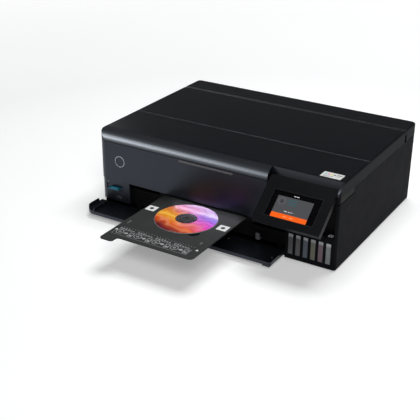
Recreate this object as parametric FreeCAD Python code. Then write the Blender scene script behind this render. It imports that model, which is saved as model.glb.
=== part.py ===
"""Wide ink-tank photo printer and scanner that prints disc labels, as separate pieces.

Millimetres. +X is to the right seen from the front, +Y to the back, +Z up.
The origin is on the floor, under the middle of the closed body.
"""
import FreeCAD, Part
import math
import os

V = FreeCAD.Vector

# ---------------------------------------------------------------- driving dimensions
# Body
WIDTH = 523.0
DEPTH = 379.0
HEIGHT = 169.0
LEFT, RIGHT = -WIDTH / 2, WIDTH / 2
FRONT, REAR = -DEPTH / 2, DEPTH / 2
WALL = 3.0
FOOT_HEIGHT = 3.0
CORNER_LEFT = 16.0
CORNER_RIGHT = 5.0
CORNER_REAR = 10.0
# Gaps
GAP = 0.4            # between pieces that move past each other
SEAM = 0.8           # visible joint line between housings
FRONT_SEAM = 1.2     # joint line under the document cover at the front
RUN_FIT = 0.05       # radial play of a shaft in its bearing
# Levels
LID_BOTTOM = HEIGHT - 21.5
CASE_TOP = LID_BOTTOM - 4.5
SCANNER_BOTTOM = CASE_TOP - 11.5
FRONT_PANEL_BOTTOM = 66.0
DECK_Z = 52.0
# Scanner and document cover
LID_FRONT_R = 15.0   # rounding just above the front seam
LID_CROWN_ANGLE = 45.0   # where that rounding passes into the flatter crown
LID_LIP = 1.5        # upright strip under the rounding
LID_SIDE_ROUNDING = 4.0
LID_PIVOT_Y = REAR - 65.0
LID_BARREL_R = 9.0
REAR_DECK_Y = LID_PIVOT_Y + 10.0
EAR_DEPTH = 64.0     # length of the dipped grip at each front corner of the scanner unit
EAR_BOTTOM = CASE_TOP - 9.0
FINGER_HEIGHT = 2.2
GLASS_WIDTH = 310.0
GLASS_DEPTH = 220.0
GLASS_THICKNESS = 3.0
# Control panel and its pocket
PANEL_LEFT = RIGHT - 140.0
PANEL_WIDTH = 132.0
PANEL_STOWED_TOP = HEIGHT - 7.5
PANEL_HEIGHT = PANEL_STOWED_TOP - FRONT_PANEL_BOTTOM
PANEL_THICKNESS = 11.0
PANEL_CORNER = 8.0
PANEL_TILT = 51.0
PANEL_PIVOT_BACK = 2.2
PANEL_PIVOT_DROP = 14.1
SCREEN_WIDTH = 95.0
SCREEN_HEIGHT = 54.0
SCREEN_INSET = 19.0
SCREEN_DROP = 0.66 * (PANEL_HEIGHT - SCREEN_HEIGHT)
POCKET_MARGIN = 2.5
POCKET_DEPTH = 20.5
# Front opening
OPENING_LEFT = LEFT + 71.5
OPENING_RIGHT = RIGHT - 101.5
FACE_RECESS = 11.5   # cassette faces behind the front of the body
# Front cover, drawn as it lies open
COVER_LENGTH = 57.0
COVER_THICKNESS = 7.0
COVER_CORNER = 20.0
COVER_PIVOT_BACK = 2.0
COVER_PIVOT_Z = 8.5
COVER_BOTTOM = 8.6
COVER_LIP_R = 12.0   # upturned left end
COVER_LIP_TOP = 21.5
COVER_LIP_WALL = 3.0
# Paper cassettes and output tray
CASSETTE_WALL = 2.0
LOWER_BOTTOM = 19.5
LOWER_HEIGHT = 17.5
LOWER_DEPTH = 300.0
UPPER_HEIGHT = 8.2
UPPER_DEPTH = 190.0
OUTPUT_HEIGHT = 7.5
OUTPUT_DEPTH = 96.0
OUTPUT_RIGHT = OPENING_RIGHT - 74.0
GUIDE_OFFSET = 108.0
# Disc tray and disc
TRAY_WIDTH = 184.0
TRAY_CENTRE_X = (OPENING_LEFT + OPENING_RIGHT) / 2 + 0.3
TRAY_TOP = 61.0
TRAY_THICKNESS = 2.4
TRAY_FRONT_Y = -378.0
TRAY_REAR_Y = -120.0
TRAY_TAB = 17.0
TRAY_TAB_WIDTH = 27.5
DISC_CENTRE_Y = -250.8
DISC_R = 60.0
DISC_HOLE_R = 7.5
DISC_THICKNESS = 1.2
DISC_PROUD = 0.3
NOTCH_ANGLE = -45.0
NOTCH_R = 12.0
# Card reader and USB socket
CARD_WIDTH = 24.0
CARD_THICKNESS = 2.1
CARD_LENGTH = 32.0
CARD_X = LEFT + 37.5
CARD_Z = 49.5
USB_WIDTH = 13.1
USB_HEIGHT = 5.7
USB_X = LEFT + 46.5
USB_Z = 29.0
# Power button
BUTTON_X = LEFT + 50.5
BUTTON_Z = 109.0
BUTTON_R = 11.5
BUTTON_TRAVEL = 1.0
# Ink tanks
TANK_LEFT = OPENING_RIGHT + 0.6
TANK_TOP = 65.0
TANK_DEPTH = 80.0
TANK_COUNT = 6
WINDOW_FIRST_X = TANK_LEFT + 10.7
WINDOW_PITCH = 15.0
WINDOW_WIDTH = 10.0
WINDOW_BOTTOM = 12.0
WINDOW_TOP = 54.0
# Print mechanism
PRINT_Y = -10.0
CARRIAGE_WIDTH = 88.0
CARRIAGE_DEPTH = 86.0
CARRIAGE_BOTTOM = 64.5
CARRIAGE_TOP = SCANNER_BOTTOM - 13.5
CARRIAGE_HOME_X = RIGHT - 58.5
HEAD_DROP = 2.0
RAIL_R = 5.0
RAIL_Y = 22.0
RAIL_Z = CARRIAGE_TOP - 18.0
BELT_Y = 52.0
BELT_Z = CARRIAGE_TOP - 22.0
BELT_WIDTH = 6.0
BELT_THICKNESS = 1.2
PULLEY_R = 6.0
PULLEY_X = RIGHT - 29.5
PATH_Z = 58.3        # underside level of the paper and disc-tray path
FEED_R = 8.0
FEED_Y = 45.0
EXIT_R = 6.0
EXIT_Y = -66.0
PINCH_R = 4.0
GEAR_MODULE = 1.25
PINION_TEETH = 12
GEAR_TEETH = 36
GEAR_WIDTH = 6.0

# ---------------------------------------------------------------- derived places
BASE_BOTTOM = FOOT_HEIGHT
LID_PIVOT_Z = HEIGHT - LID_BARREL_R
POCKET_LEFT = PANEL_LEFT - POCKET_MARGIN
POCKET_RIGHT = PANEL_LEFT + PANEL_WIDTH + POCKET_MARGIN
POCKET_BACK = FRONT + POCKET_DEPTH
PANEL_PIVOT_Y = FRONT + PANEL_PIVOT_BACK
PANEL_PIVOT_Z = PANEL_STOWED_TOP - PANEL_PIVOT_DROP
FACE_Y = FRONT + FACE_RECESS
UPPER_BOTTOM = LOWER_BOTTOM + LOWER_HEIGHT + GAP
OUTPUT_BOTTOM = UPPER_BOTTOM + UPPER_HEIGHT + GAP
COVER_PIVOT_Y = FRONT + COVER_PIVOT_BACK
CASSETTE_LEFT = OPENING_LEFT + 4.0
CASSETTE_RIGHT = OPENING_RIGHT - 4.0
MID_X = (CASSETTE_LEFT + CASSETTE_RIGHT) / 2
END_LEFT = LEFT + 3 * WALL
END_RIGHT = RIGHT - 3 * WALL


# ---------------------------------------------------------------- helpers
def box(x0, x1, y0, y1, z0, z1):
    return Part.makeBox(x1 - x0, y1 - y0, z1 - z0, V(x0, y0, z0))


def rod_x(x0, x1, y, z, r):
    return Part.makeCylinder(r, x1 - x0, V(x0, y, z), V(1, 0, 0))


def rod_y(y0, y1, x, z, r):
    return Part.makeCylinder(r, y1 - y0, V(x, y0, z), V(0, 1, 0))


def rod_z(z0, z1, x, y, r):
    return Part.makeCylinder(r, z1 - z0, V(x, y, z0), V(0, 0, 1))


def fuse(*shapes):
    flat = []
    for shape in shapes:
        flat += shape if isinstance(shape, list) else [shape]
    whole = flat[0]
    if len(flat) > 1:
        whole = whole.fuse(flat[1:])
    return whole.removeSplitter()


def cut(shape, *tools):
    flat = []
    for tool in tools:
        flat += tool if isinstance(tool, list) else [tool]
    return shape.cut(flat) if flat else shape


def profile_x(points, x0, x1):
    """Solid from a closed outline of (y, z) points, drawn out along X."""
    loop = [V(x0, y, z) for y, z in points]
    face = Part.Face(Part.makePolygon(loop + loop[:1]))
    return face.extrude(V(x1 - x0, 0, 0))


def profile_z(points, z0, z1):
    """Solid from a closed outline of (x, y) points, drawn out along Z."""
    loop = [V(x, y, z0) for x, y in points]
    face = Part.Face(Part.makePolygon(loop + loop[:1]))
    return face.extrude(V(0, 0, z1 - z0))


def upright_edges(shape, x, y):
    near = 0.1
    return [e for e in shape.Edges
            if abs(e.CenterOfMass.x - x) < near and abs(e.CenterOfMass.y - y) < near
            and e.BoundBox.XLength < near and e.BoundBox.YLength < near]


def round_upright(shape, corners):
    """Round upright edges; corners is a list of (x, y, radius)."""
    for x, y, r in corners:
        if r > 0:
            shape = shape.makeFillet(r, upright_edges(shape, x, y))
    return shape


def plan_block(inset, z0, z1, y1=None):
    """Block with the body's rounded plan, drawn in by inset on every side."""
    x0, x1, y0 = LEFT + inset, RIGHT - inset, FRONT + inset
    y1 = REAR - inset if y1 is None else y1
    rear = max(CORNER_REAR - inset, 0.5) if y1 > REAR - CORNER_REAR else 0
    return round_upright(box(x0, x1, y0, y1, z0, z1), [
        (x0, y0, CORNER_LEFT - inset), (x1, y0, max(CORNER_RIGHT - inset, 0.5)),
        (x0, y1, rear), (x1, y1, rear)])


def shell_ring(z0, z1, inset=0.0):
    """Upright wall that follows the body's plan."""
    return cut(plan_block(inset, z0, z1), plan_block(inset + WALL, z0 - 1, z1 + 1))


def turned(shape, y, z, degrees):
    """Copy turned about an axis along -X through (y, z)."""
    copy = shape.copy()
    copy.rotate(V(0, y, z), V(-1, 0, 0), degrees)
    return copy


def save(node, shape):
    solids = shape.Solids
    assert solids, node
    whole = solids[0] if len(solids) == 1 else Part.makeCompound(solids)
    whole.exportStep("parts/%s.step" % node)
    print("%-20s solids %2d faces %4d volume %11.1f" % (
        node, len(solids), len(whole.Faces), whole.Volume))


# ---------------------------------------------------------------- outer case
SIDE_FRONT = FRONT + CORNER_LEFT
SIDE_REAR = REAR - 39.5
REAR_WALL_TOP = CASE_TOP - 1.0
BASE_TOP = BASE_BOTTOM + WALL
EAR_REAR = FRONT + EAR_DEPTH
POST_X = POCKET_RIGHT + GAP
MODULE_BOTTOM = 21.0
MODULE_INSET = 1.2
FOOT_R = 10.0


def base_tray():
    plate = plan_block(WALL, BASE_BOTTOM, BASE_TOP)
    front = box(LEFT, RIGHT, FRONT, FRONT + 5.5, 0, BASE_TOP + 1)
    tank_bay = box(TANK_LEFT - GAP, RIGHT, FRONT, FRONT + TANK_DEPTH + GAP, 0, BASE_TOP + 1)
    runners = [box(x, x + 10, FACE_Y, FACE_Y + LOWER_DEPTH, BASE_TOP - 1, LOWER_BOTTOM - GAP)
               for x in (CASSETTE_LEFT + 6, MID_X - 5, CASSETTE_RIGHT - 16)]
    return fuse(cut(plate, front, tank_bay), runners, front_cover_pins())


def rubber_feet():
    places = [(x, y) for x in (LEFT + 36, RIGHT - 36) for y in (FRONT + 40, REAR - 30)] + [(0, 0)]
    return Part.makeCompound([rod_z(0, FOOT_HEIGHT, x, y, FOOT_R) for x, y in places])


def ear_space(side):
    """Room for the scanner unit's dipped grip and the fingers under it."""
    x0, x1 = (LEFT - 1, LEFT + 10) if side < 0 else (RIGHT - 10, RIGHT + 1)
    return box(x0, x1, FRONT - 1, EAR_REAR + GAP, EAR_BOTTOM - FINGER_HEIGHT, HEIGHT)


def side_left():
    wall = shell_ring(BASE_BOTTOM, CASE_TOP).common(
        box(LEFT - 1, LEFT + 20, SIDE_FRONT, SIDE_REAR, 0, HEIGHT))
    return cut(wall, ear_space(-1))


def side_right():
    wall = shell_ring(BASE_BOTTOM, CASE_TOP).common(
        box(POST_X, RIGHT + 1, FRONT - 1, SIDE_REAR, 0, HEIGHT))
    return cut(wall, ear_space(1))


INLET = (LEFT + 29.5, LEFT + 53.5, 60.0, 76.0)     # x0, x1, z0, z1 of the mains inlet
PORTS = (RIGHT - 111.5, RIGHT - 71.5, 60.0, 78.0)       # the same for the network and computer sockets
ACCESS = (-110.0, 90.0, 26.0, 112.0)     # the same for the removable rear cover
COVER_HINGE_Y = REAR - 2.5
COVER_HINGE_Z = CASE_TOP + 3.0
SMALL_PIN_R = 1.5
REAR_POST_X = RIGHT - 71.5


def rear_panel():
    wall = shell_ring(BASE_BOTTOM, REAR_WALL_TOP).common(
        box(LEFT - 1, RIGHT + 1, SIDE_REAR + GAP, REAR + 1, 0, HEIGHT))
    holes = [box(x0, x1, REAR - 10, REAR + 1, z0, z1) for x0, x1, z0, z1 in (INLET, PORTS, ACCESS)]
    vents = [box(x, x + 3, REAR - 10, REAR + 1, 86, 112)
             for x in [LEFT + 31.5 + 8 * i for i in range(10)]]
    posts = []
    for side in (-1, 1):
        x = side * REAR_POST_X
        posts.append(box(min(x, x + side * 4), max(x, x + side * 4), REAR - 5, REAR,
                         REAR_WALL_TOP - 1, COVER_HINGE_Z + 2.5))
        posts.append(rod_x(min(x - side * 12, x), max(x - side * 12, x),
                           COVER_HINGE_Y, COVER_HINGE_Z, SMALL_PIN_R))
    return fuse(cut(wall, holes, vents), posts)


def rear_access_cover():
    x0, x1, z0, z1 = ACCESS
    plate = box(x0 + GAP, x1 - GAP, REAR - WALL, REAR, z0 + GAP, z1 - GAP)
    grips = [box(x, x + 26, REAR - 1.6, REAR + 1, z0 + 30, z0 + 50) for x in (x0 + 14, x1 - 40)]
    ribs = [box(x, x + 2, REAR - WALL - 5, REAR - WALL, z0 + 6, z1 - 6)
            for x in range(int(x0) + 20, int(x1) - 10, 30)]
    return fuse(cut(plate, grips), ribs)


GRIP = (-71.5, 47.0, LID_BOTTOM - 7.5, LID_BOTTOM - 3.0)   # x0, x1, z0, z1 of the pale grip line
GRIP_DEPTH = 1.6
PANEL_EDGE = POCKET_LEFT - GAP


def front_panel():
    wall = shell_ring(FRONT_PANEL_BOTTOM, LID_BOTTOM - FRONT_SEAM).common(
        box(LEFT - 1, PANEL_EDGE, FRONT - 1, SIDE_FRONT - GAP, 0, HEIGHT))
    x0, x1, z0, z1 = GRIP
    groove = box(x0, x1, FRONT - 1, FRONT + GRIP_DEPTH, z0, z1)
    boss = rod_y(FRONT + WALL - 0.5, FRONT + WALL + 7, BUTTON_X, BUTTON_Z, BUTTON_R + 2)
    bore = rod_y(FRONT - 1, FRONT + WALL + 5, BUTTON_X, BUTTON_Z, BUTTON_R + GAP)
    stiffeners = [box(x, x + 2, FRONT + WALL - 0.5, FRONT + WALL + 1.5, FRONT_PANEL_BOTTOM + 4,
                      SCANNER_BOTTOM - 4) for x in range(-170, 110, 40)]
    return cut(fuse(wall, boss, stiffeners), bore, groove)


def grip_strip():
    x0, x1, z0, z1 = GRIP
    return box(x0, x1, FRONT + 0.5, FRONT + GRIP_DEPTH, z0, z1)


RING_WIDTH = 1.2
RING_DEPTH = 0.4


def power_button():
    y0 = FRONT + 0.1
    cap = rod_y(y0, FRONT + WALL + 5 - BUTTON_TRAVEL - GAP, BUTTON_X, BUTTON_Z, BUTTON_R)
    return cut(cap, power_ring())


def power_ring():
    y0 = FRONT
    outer = rod_y(y0, y0 + RING_DEPTH, BUTTON_X, BUTTON_Z, BUTTON_R)
    return cut(outer, rod_y(y0 - 1, y0 + 1, BUTTON_X, BUTTON_Z, BUTTON_R - RING_WIDTH))


CARD_OUT = 7.5
READER_WALL = 4.0
MODULE_DEPTH = 39.5


def card_module():
    skin = shell_ring(MODULE_BOTTOM, FRONT_PANEL_BOTTOM, MODULE_INSET).common(
        box(LEFT, OPENING_LEFT, FRONT, SIDE_FRONT, 0, HEIGHT))
    cheek = box(OPENING_LEFT - WALL, OPENING_LEFT, FRONT + MODULE_INSET, FRONT + MODULE_DEPTH,
                MODULE_BOTTOM, FRONT_PANEL_BOTTOM)
    floor = plan_block(MODULE_INSET + 1, MODULE_BOTTOM, MODULE_BOTTOM + 2).common(
        box(LEFT, OPENING_LEFT, FRONT, SIDE_FRONT, 0, HEIGHT))
    half_w = CARD_WIDTH / 2 + READER_WALL
    reader = box(CARD_X - half_w, CARD_X + half_w, FRONT + MODULE_INSET + 2,
                 FRONT + CARD_LENGTH - CARD_OUT + 4, CARD_Z - 5, CARD_Z + 5)
    usb_seat = box(USB_X - USB_WIDTH / 2 - 2, USB_X + USB_WIDTH / 2 + 2, FRONT + MODULE_INSET + 2,
                   FRONT + 12, MODULE_BOTTOM + 1, USB_Z + USB_HEIGHT / 2 + 2)
    body = fuse(skin, cheek, floor, reader, usb_seat)
    mouth = box(CARD_X - 22, CARD_X + 17, FRONT, FRONT + MODULE_INSET + 1.8, CARD_Z - 4.5, CARD_Z + 7.5)
    slot = box(CARD_X - CARD_WIDTH / 2 - GAP, CARD_X + CARD_WIDTH / 2 + GAP, FRONT,
               FRONT + CARD_LENGTH - CARD_OUT + GAP,
               CARD_Z - CARD_THICKNESS / 2 - GAP, CARD_Z + CARD_THICKNESS / 2 + GAP)
    usb = box(USB_X - USB_WIDTH / 2, USB_X + USB_WIDTH / 2, FRONT, FRONT + 13,
              USB_Z - USB_HEIGHT / 2, USB_Z + USB_HEIGHT / 2)
    return cut(body, mouth, slot, usb)


def usb_port():
    x0, x1 = USB_X - USB_WIDTH / 2, USB_X + USB_WIDTH / 2
    z0, z1 = USB_Z - USB_HEIGHT / 2, USB_Z + USB_HEIGHT / 2
    skin = 0.4
    y0 = FRONT + MODULE_INSET
    y1 = FRONT + 13
    shell = cut(box(x0, x1, y0, y1, z0, z1),
                box(x0 + skin, x1 - skin, y0 - 1, y1 - 1, z0 + skin, z1 - skin))
    return fuse(shell, box(x0 + 1, x1 - 1, y0 + 2, y1 - 0.5, USB_Z + 0.2, USB_Z + 1.9))


def memory_card():
    x0, x1 = CARD_X - CARD_WIDTH / 2, CARD_X + CARD_WIDTH / 2
    y0 = FRONT - CARD_OUT
    z0, z1 = CARD_Z - CARD_THICKNESS / 2, CARD_Z + CARD_THICKNESS / 2
    card = profile_z([(x0, y0), (x1, y0), (x1, y0 + CARD_LENGTH - 4), (x1 - 4, y0 + CARD_LENGTH),
                      (x0, y0 + CARD_LENGTH)], z0, z1)
    return cut(card, box(x0 + 2.5, x1 - 2.5, y0 + 3, y0 + CARD_LENGTH - 8, z1 - 0.2, z1 + 1))


# ---------------------------------------------------------------- front cover
HINGE_KNUCKLE_R = 3.0
KNUCKLE_LENGTH = 10.0
PIN_ARM = 4.0        # width of the arm that holds each pin
PIN_ARM_REACH = 3.6  # room round the hinge line for that arm


def cover_hinge_places():
    return [LEFT + 22, TANK_LEFT - 26]


def lip_section(x0, y0, y1, z0, r, top):
    """Solid that fills the upturned end, rounded below with radius r."""
    width = COVER_LIP_R + 2
    return fuse(rod_y(y0, y1, x0 + r, z0 + r, r), box(x0, x0 + r, y0, y1, z0 + r, top),
                box(x0 + r, x0 + width, y0, y1, z0, top))


def front_cover():
    x0, x1 = LEFT + 0.6, TANK_LEFT - 0.8
    y1 = FRONT + 0.4
    y0 = y1 - COVER_LENGTH + 1.5
    z0, z1 = COVER_BOTTOM, COVER_BOTTOM + COVER_THICKNESS
    corner = [(x0, y0, COVER_CORNER)]
    plate = round_upright(box(x0, x1, y0, y1, z0, z1), corner + [(x1, y0, 4)])
    under = cut(box(x0 - 1, x0 + COVER_LIP_R, y0 - 1, y1 + 1, z0 - 1, z0 + COVER_LIP_R),
                rod_y(y0 - 2, y1 + 2, x0 + COVER_LIP_R, z0 + COVER_LIP_R, COVER_LIP_R))
    rim = COVER_LIP_WALL
    hollow = round_upright(box(x0 + COVER_LIP_R, x1 - rim, y0 + rim, y1 - rim, z0 - 1, z1 - 2.2),
                           [(x0 + COVER_LIP_R, y0 + rim, 5)])
    lip_end = y1 - 11.4
    outer = lip_section(x0, y0, lip_end, z0, COVER_LIP_R, COVER_LIP_TOP)
    inner = lip_section(x0 + rim, y0 - 1, lip_end + 1, z0 + rim, COVER_LIP_R - rim, COVER_LIP_TOP + 1)
    outline = round_upright(box(x0, x1, y0, y1, z0, COVER_LIP_TOP), corner)
    lip = cut(outer, inner).common(outline)
    foot = box(x1 - 17, x1 - 2, y0 + 1, y0 + 9, z0 - 3, z0 + 3)
    pitch = (x1 - x0) / 9
    ribs = [box(x, x + 2, y0 + 12, y1 - rim, z0 + 0.6, z1 - 2)
            for x in [x0 + pitch * (i + 0.5) for i in range(9)]]
    lines = [box(x0 + 20, x0 + 90, y, y + 1.2, z1 - 0.2, z1 + 0.5) for y in (y0 + 22, y0 + 38)]
    knuckles = []
    for x in cover_hinge_places():
        knuckles.append(rod_x(x, x + KNUCKLE_LENGTH, COVER_PIVOT_Y, COVER_PIVOT_Z, HINGE_KNUCKLE_R))
        knuckles.append(box(x, x + KNUCKLE_LENGTH, COVER_PIVOT_Y - 3, COVER_PIVOT_Y + 1,
                            COVER_PIVOT_Z, z0 + 3))
    bores = [rod_x(x - 1, x + KNUCKLE_LENGTH + 1, COVER_PIVOT_Y, COVER_PIVOT_Z, SMALL_PIN_R + RUN_FIT)
             for x in cover_hinge_places()]
    arm_slots = [rod_x(x + KNUCKLE_LENGTH, x + KNUCKLE_LENGTH + PIN_ARM + 2 * GAP, COVER_PIVOT_Y,
                       COVER_PIVOT_Z, PIN_ARM_REACH) for x in cover_hinge_places()]
    return cut(fuse(cut(plate, under, hollow), lip, foot, ribs, lines, knuckles), bores, arm_slots)


def front_cover_pins():
    pieces = []
    for x in cover_hinge_places():
        end = x + KNUCKLE_LENGTH + GAP
        y0, z1 = COVER_PIVOT_Y - 2.5, COVER_PIVOT_Z + 1.8
        pieces.append(box(end, end + PIN_ARM, y0, FRONT + 9, BASE_TOP, z1))
        pieces.append(box(end, end + PIN_ARM, y0, FRONT + 5.5, BASE_BOTTOM, z1))
        pieces.append(rod_x(x, end, COVER_PIVOT_Y, COVER_PIVOT_Z, SMALL_PIN_R))
    return fuse(pieces)


# ---------------------------------------------------------------- cassettes and trays
def open_tray(x0, x1, y0, y1, z0, z1, floor, front):
    """Tray open at the top, with a thicker front face."""
    block = box(x0, x1, y0, y1, z0, z1)
    return cut(block, box(x0 + CASSETTE_WALL, x1 - CASSETTE_WALL, y0 + front, y1 - CASSETTE_WALL,
                          z0 + floor, z1 + 1))


def lower_cassette():
    z1 = LOWER_BOTTOM + LOWER_HEIGHT
    tray = open_tray(CASSETTE_LEFT, CASSETTE_RIGHT, FACE_Y, FACE_Y + LOWER_DEPTH,
                     LOWER_BOTTOM, z1, CASSETTE_WALL, 4)
    pull = box(MID_X - 45, MID_X + 45, FACE_Y - 1, FACE_Y + 2.6, LOWER_BOTTOM - 1, LOWER_BOTTOM + 8)
    groove = box(CASSETTE_LEFT + 14, CASSETTE_LEFT + 15.4, FACE_Y - 1, FACE_Y + 0.8,
                 LOWER_BOTTOM + 4, z1 - 2)
    rack = box(MID_X - 100, MID_X + 100, FACE_Y + 150, FACE_Y + 158, LOWER_BOTTOM + 1.5, LOWER_BOTTOM + 3)
    return fuse(cut(tray, pull, groove), rack)


def cassette_guide(side):
    """Upright edge guide on a foot that lies on the cassette floor."""
    x = MID_X + side * GUIDE_OFFSET
    floor = LOWER_BOTTOM + CASSETTE_WALL + GAP
    y0 = FACE_Y + 60
    fence = box(x - 1, x + 1, y0, y0 + 80, floor, LOWER_BOTTOM + LOWER_HEIGHT - 2)
    foot = box(min(x, x + side * 22), max(x, x + side * 22), y0 + 12, y0 + 68, floor, floor + 2)
    return fuse(fence, foot)


def cassette_lever():
    x0, x1 = CASSETTE_RIGHT - 58, CASSETTE_RIGHT - 50
    y0 = FACE_Y - 9
    z0 = LOWER_BOTTOM + 2
    stem = box(x0, x1, y0, FACE_Y, z0, z0 + 3)
    blade = box(x0, x1, y0, y0 + 2.4, z0, z0 + 13)
    hook = box(x0, x0 + 3, y0, y0 + 5, z0 + 10, z0 + 13)
    return fuse(stem, blade, hook)


def upper_cassette():
    z0, z1 = UPPER_BOTTOM, UPPER_BOTTOM + UPPER_HEIGHT
    tray = open_tray(CASSETTE_LEFT, CASSETTE_RIGHT, FACE_Y, FACE_Y + UPPER_DEPTH, z0, z1, 1.6, 4)
    stops = [box(x, x + 2, FACE_Y + 30, FACE_Y + 150, z0 + 1, z1 - 1.5) for x in (MID_X - 70, MID_X + 68)]
    return fuse(tray, stops)


def output_tray():
    z0, z1 = OUTPUT_BOTTOM, OUTPUT_BOTTOM + OUTPUT_HEIGHT
    tray = box(CASSETTE_LEFT, OUTPUT_RIGHT, FACE_Y, FACE_Y + OUTPUT_DEPTH, z0, z1)
    dish = box(CASSETTE_LEFT + 4, OUTPUT_RIGHT - 4, FACE_Y + 8, FACE_Y + OUTPUT_DEPTH + 1, z1 - 2.4, z1 + 1)
    pitch = (OUTPUT_RIGHT - CASSETTE_LEFT) / 9
    ribs = [box(x, x + 2, FACE_Y + 8, FACE_Y + OUTPUT_DEPTH, z1 - 3, z1 - 1.2)
            for x in [CASSETTE_LEFT + pitch * (i + 0.5) for i in range(9)]]
    grip = round_upright(box(MID_X - 55, MID_X + 5, FACE_Y - 1, FACE_Y + 7, z0 - 1, z1 - 3),
                         [(MID_X - 55, FACE_Y + 7, 3), (MID_X + 5, FACE_Y + 7, 3)])
    return cut(fuse(cut(tray, dish), ribs), grip)


TRAY_LEFT = TRAY_CENTRE_X - TRAY_WIDTH / 2
TRAY_RIGHT = TRAY_CENTRE_X + TRAY_WIDTH / 2
TRAY_BOTTOM = TRAY_TOP - TRAY_THICKNESS
DISC_BOTTOM = TRAY_TOP + DISC_PROUD - DISC_THICKNESS


def disc_tray():
    x0, x1, y0, y1 = TRAY_LEFT, TRAY_RIGHT, TRAY_FRONT_Y, TRAY_REAR_Y
    tab_x, tab_y = x0 + TRAY_TAB_WIDTH, y0 - TRAY_TAB
    plate = profile_z([(x0, tab_y), (tab_x, tab_y), (tab_x, y0), (x1, y0), (x1, y1 - 8),
                       (x1 - 8, y1), (x0 + 8, y1), (x0, y1 - 8)], TRAY_BOTTOM, TRAY_TOP)
    plate = round_upright(plate, [(x0, tab_y, 5), (tab_x, tab_y, 6), (tab_x, y0, 6), (x1, y0, 10)])
    recess = rod_z(DISC_BOTTOM, TRAY_TOP + 1, TRAY_CENTRE_X, DISC_CENTRE_Y, DISC_R + GAP)
    turn = math.radians(NOTCH_ANGLE)
    notch = rod_z(DISC_BOTTOM - 0.5, TRAY_TOP + 1, TRAY_CENTRE_X + DISC_R * math.cos(turn),
                  DISC_CENTRE_Y + DISC_R * math.sin(turn), NOTCH_R)
    hub = rod_z(DISC_BOTTOM - 0.3, TRAY_TOP + DISC_PROUD + 0.3, TRAY_CENTRE_X, DISC_CENTRE_Y,
                DISC_HOLE_R - 0.1)
    well = rod_z(TRAY_TOP - 0.4, TRAY_TOP + 2, TRAY_CENTRE_X, DISC_CENTRE_Y, DISC_HOLE_R - 2.5)
    slits = []
    for k in range(3):
        slit = box(TRAY_CENTRE_X - 0.4, TRAY_CENTRE_X + 0.4, DISC_CENTRE_Y, DISC_CENTRE_Y + DISC_HOLE_R,
                   TRAY_TOP - 0.4, TRAY_TOP + 2)
        slit.rotate(V(TRAY_CENTRE_X, DISC_CENTRE_Y, 0), V(0, 0, 1), 120.0 * k)
        slits.append(slit)
    return cut(fuse(cut(plate, recess, notch), hub), well, slits)


def label_disc():
    top = DISC_BOTTOM + DISC_THICKNESS
    return cut(rod_z(DISC_BOTTOM, top, TRAY_CENTRE_X, DISC_CENTRE_Y, DISC_R),
               rod_z(DISC_BOTTOM - 1, top + 1, TRAY_CENTRE_X, DISC_CENTRE_Y, DISC_HOLE_R))


GUIDE_LENGTH = 48.0
GUIDE_SHELF = 3.5


def disc_guide():
    """Channels under the front panel that carry the disc tray's two edges."""
    rails = []
    for side, edge in ((-1, TRAY_LEFT), (1, TRAY_RIGHT)):
        x0, x1 = sorted((edge - side * GUIDE_SHELF, edge + side * 10))
        y0 = FRONT + 1.5
        block = box(x0, x1, y0, y0 + GUIDE_LENGTH, TRAY_BOTTOM - 3, FRONT_PANEL_BOTTOM)
        s0, s1 = sorted((edge - side * (GUIDE_SHELF + 1), edge + side * GAP))
        path = box(s0, s1, y0 - 1, y0 + GUIDE_LENGTH + 1, TRAY_BOTTOM - 0.3, TRAY_TOP + 0.4)
        rails.append(cut(block, path))
    return Part.makeCompound(rails)


# ---------------------------------------------------------------- control panel
PANEL_PIN_R = 1.4
CHEEK = 2.4
EAR_THICKNESS = 1.7
POCKET_FLOOR = 62.5


def panel_pocket():
    y0 = FRONT + WALL + 0.1
    floor_z = POCKET_FLOOR
    back = box(POCKET_LEFT - CHEEK, POCKET_RIGHT + CHEEK, POCKET_BACK, POCKET_BACK + WALL,
               floor_z, CASE_TOP)
    over_tanks = box(TANK_LEFT - GAP, RIGHT, POCKET_BACK, POCKET_BACK + WALL, floor_z - 1, TANK_TOP)
    left = box(POCKET_LEFT - CHEEK, POCKET_LEFT, y0, POCKET_BACK + 1, floor_z, CASE_TOP)
    right = box(POCKET_RIGHT, POCKET_RIGHT + CHEEK, y0 + CHEEK, POCKET_BACK + 1, TANK_TOP, CASE_TOP)
    floor = box(POCKET_LEFT - CHEEK, TANK_LEFT, FRONT + 1, POCKET_BACK + 1, floor_z, TANK_TOP)
    ears = []
    pins = []
    panel_right = PANEL_LEFT + PANEL_WIDTH
    for side, wall_x, panel_x in ((1, POCKET_LEFT, PANEL_LEFT), (-1, POCKET_RIGHT, panel_right)):
        x0, x1 = sorted((wall_x, wall_x + side * EAR_THICKNESS))
        ears.append(box(x0, x1, PANEL_PIVOT_Y - 1.9, POCKET_BACK + 1, CASE_TOP - 12, PANEL_PIVOT_Z))
        ears.append(rod_x(x0, x1, PANEL_PIVOT_Y, PANEL_PIVOT_Z, 1.9))
        x0, x1 = sorted((wall_x, panel_x + side * 5))
        pins.append(rod_x(x0, x1, PANEL_PIVOT_Y, PANEL_PIVOT_Z, PANEL_PIN_R))
    slots = [box(x, x + 30, POCKET_BACK - 1, POCKET_BACK + WALL + 1, 84, 88)
             for x in (PANEL_LEFT + 18.5, PANEL_LEFT + 83.5)]
    return fuse(cut(back, over_tanks, slots), left, right, floor, ears, pins, panel_arm())


def panel_arm():
    """Pale friction arm beside the right end of the panel."""
    x1 = POCKET_RIGHT
    return box(x1 - EAR_THICKNESS, x1, PANEL_PIVOT_Y + 2, PANEL_PIVOT_Y + 6, CASE_TOP - 24, CASE_TOP - 11)


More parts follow.
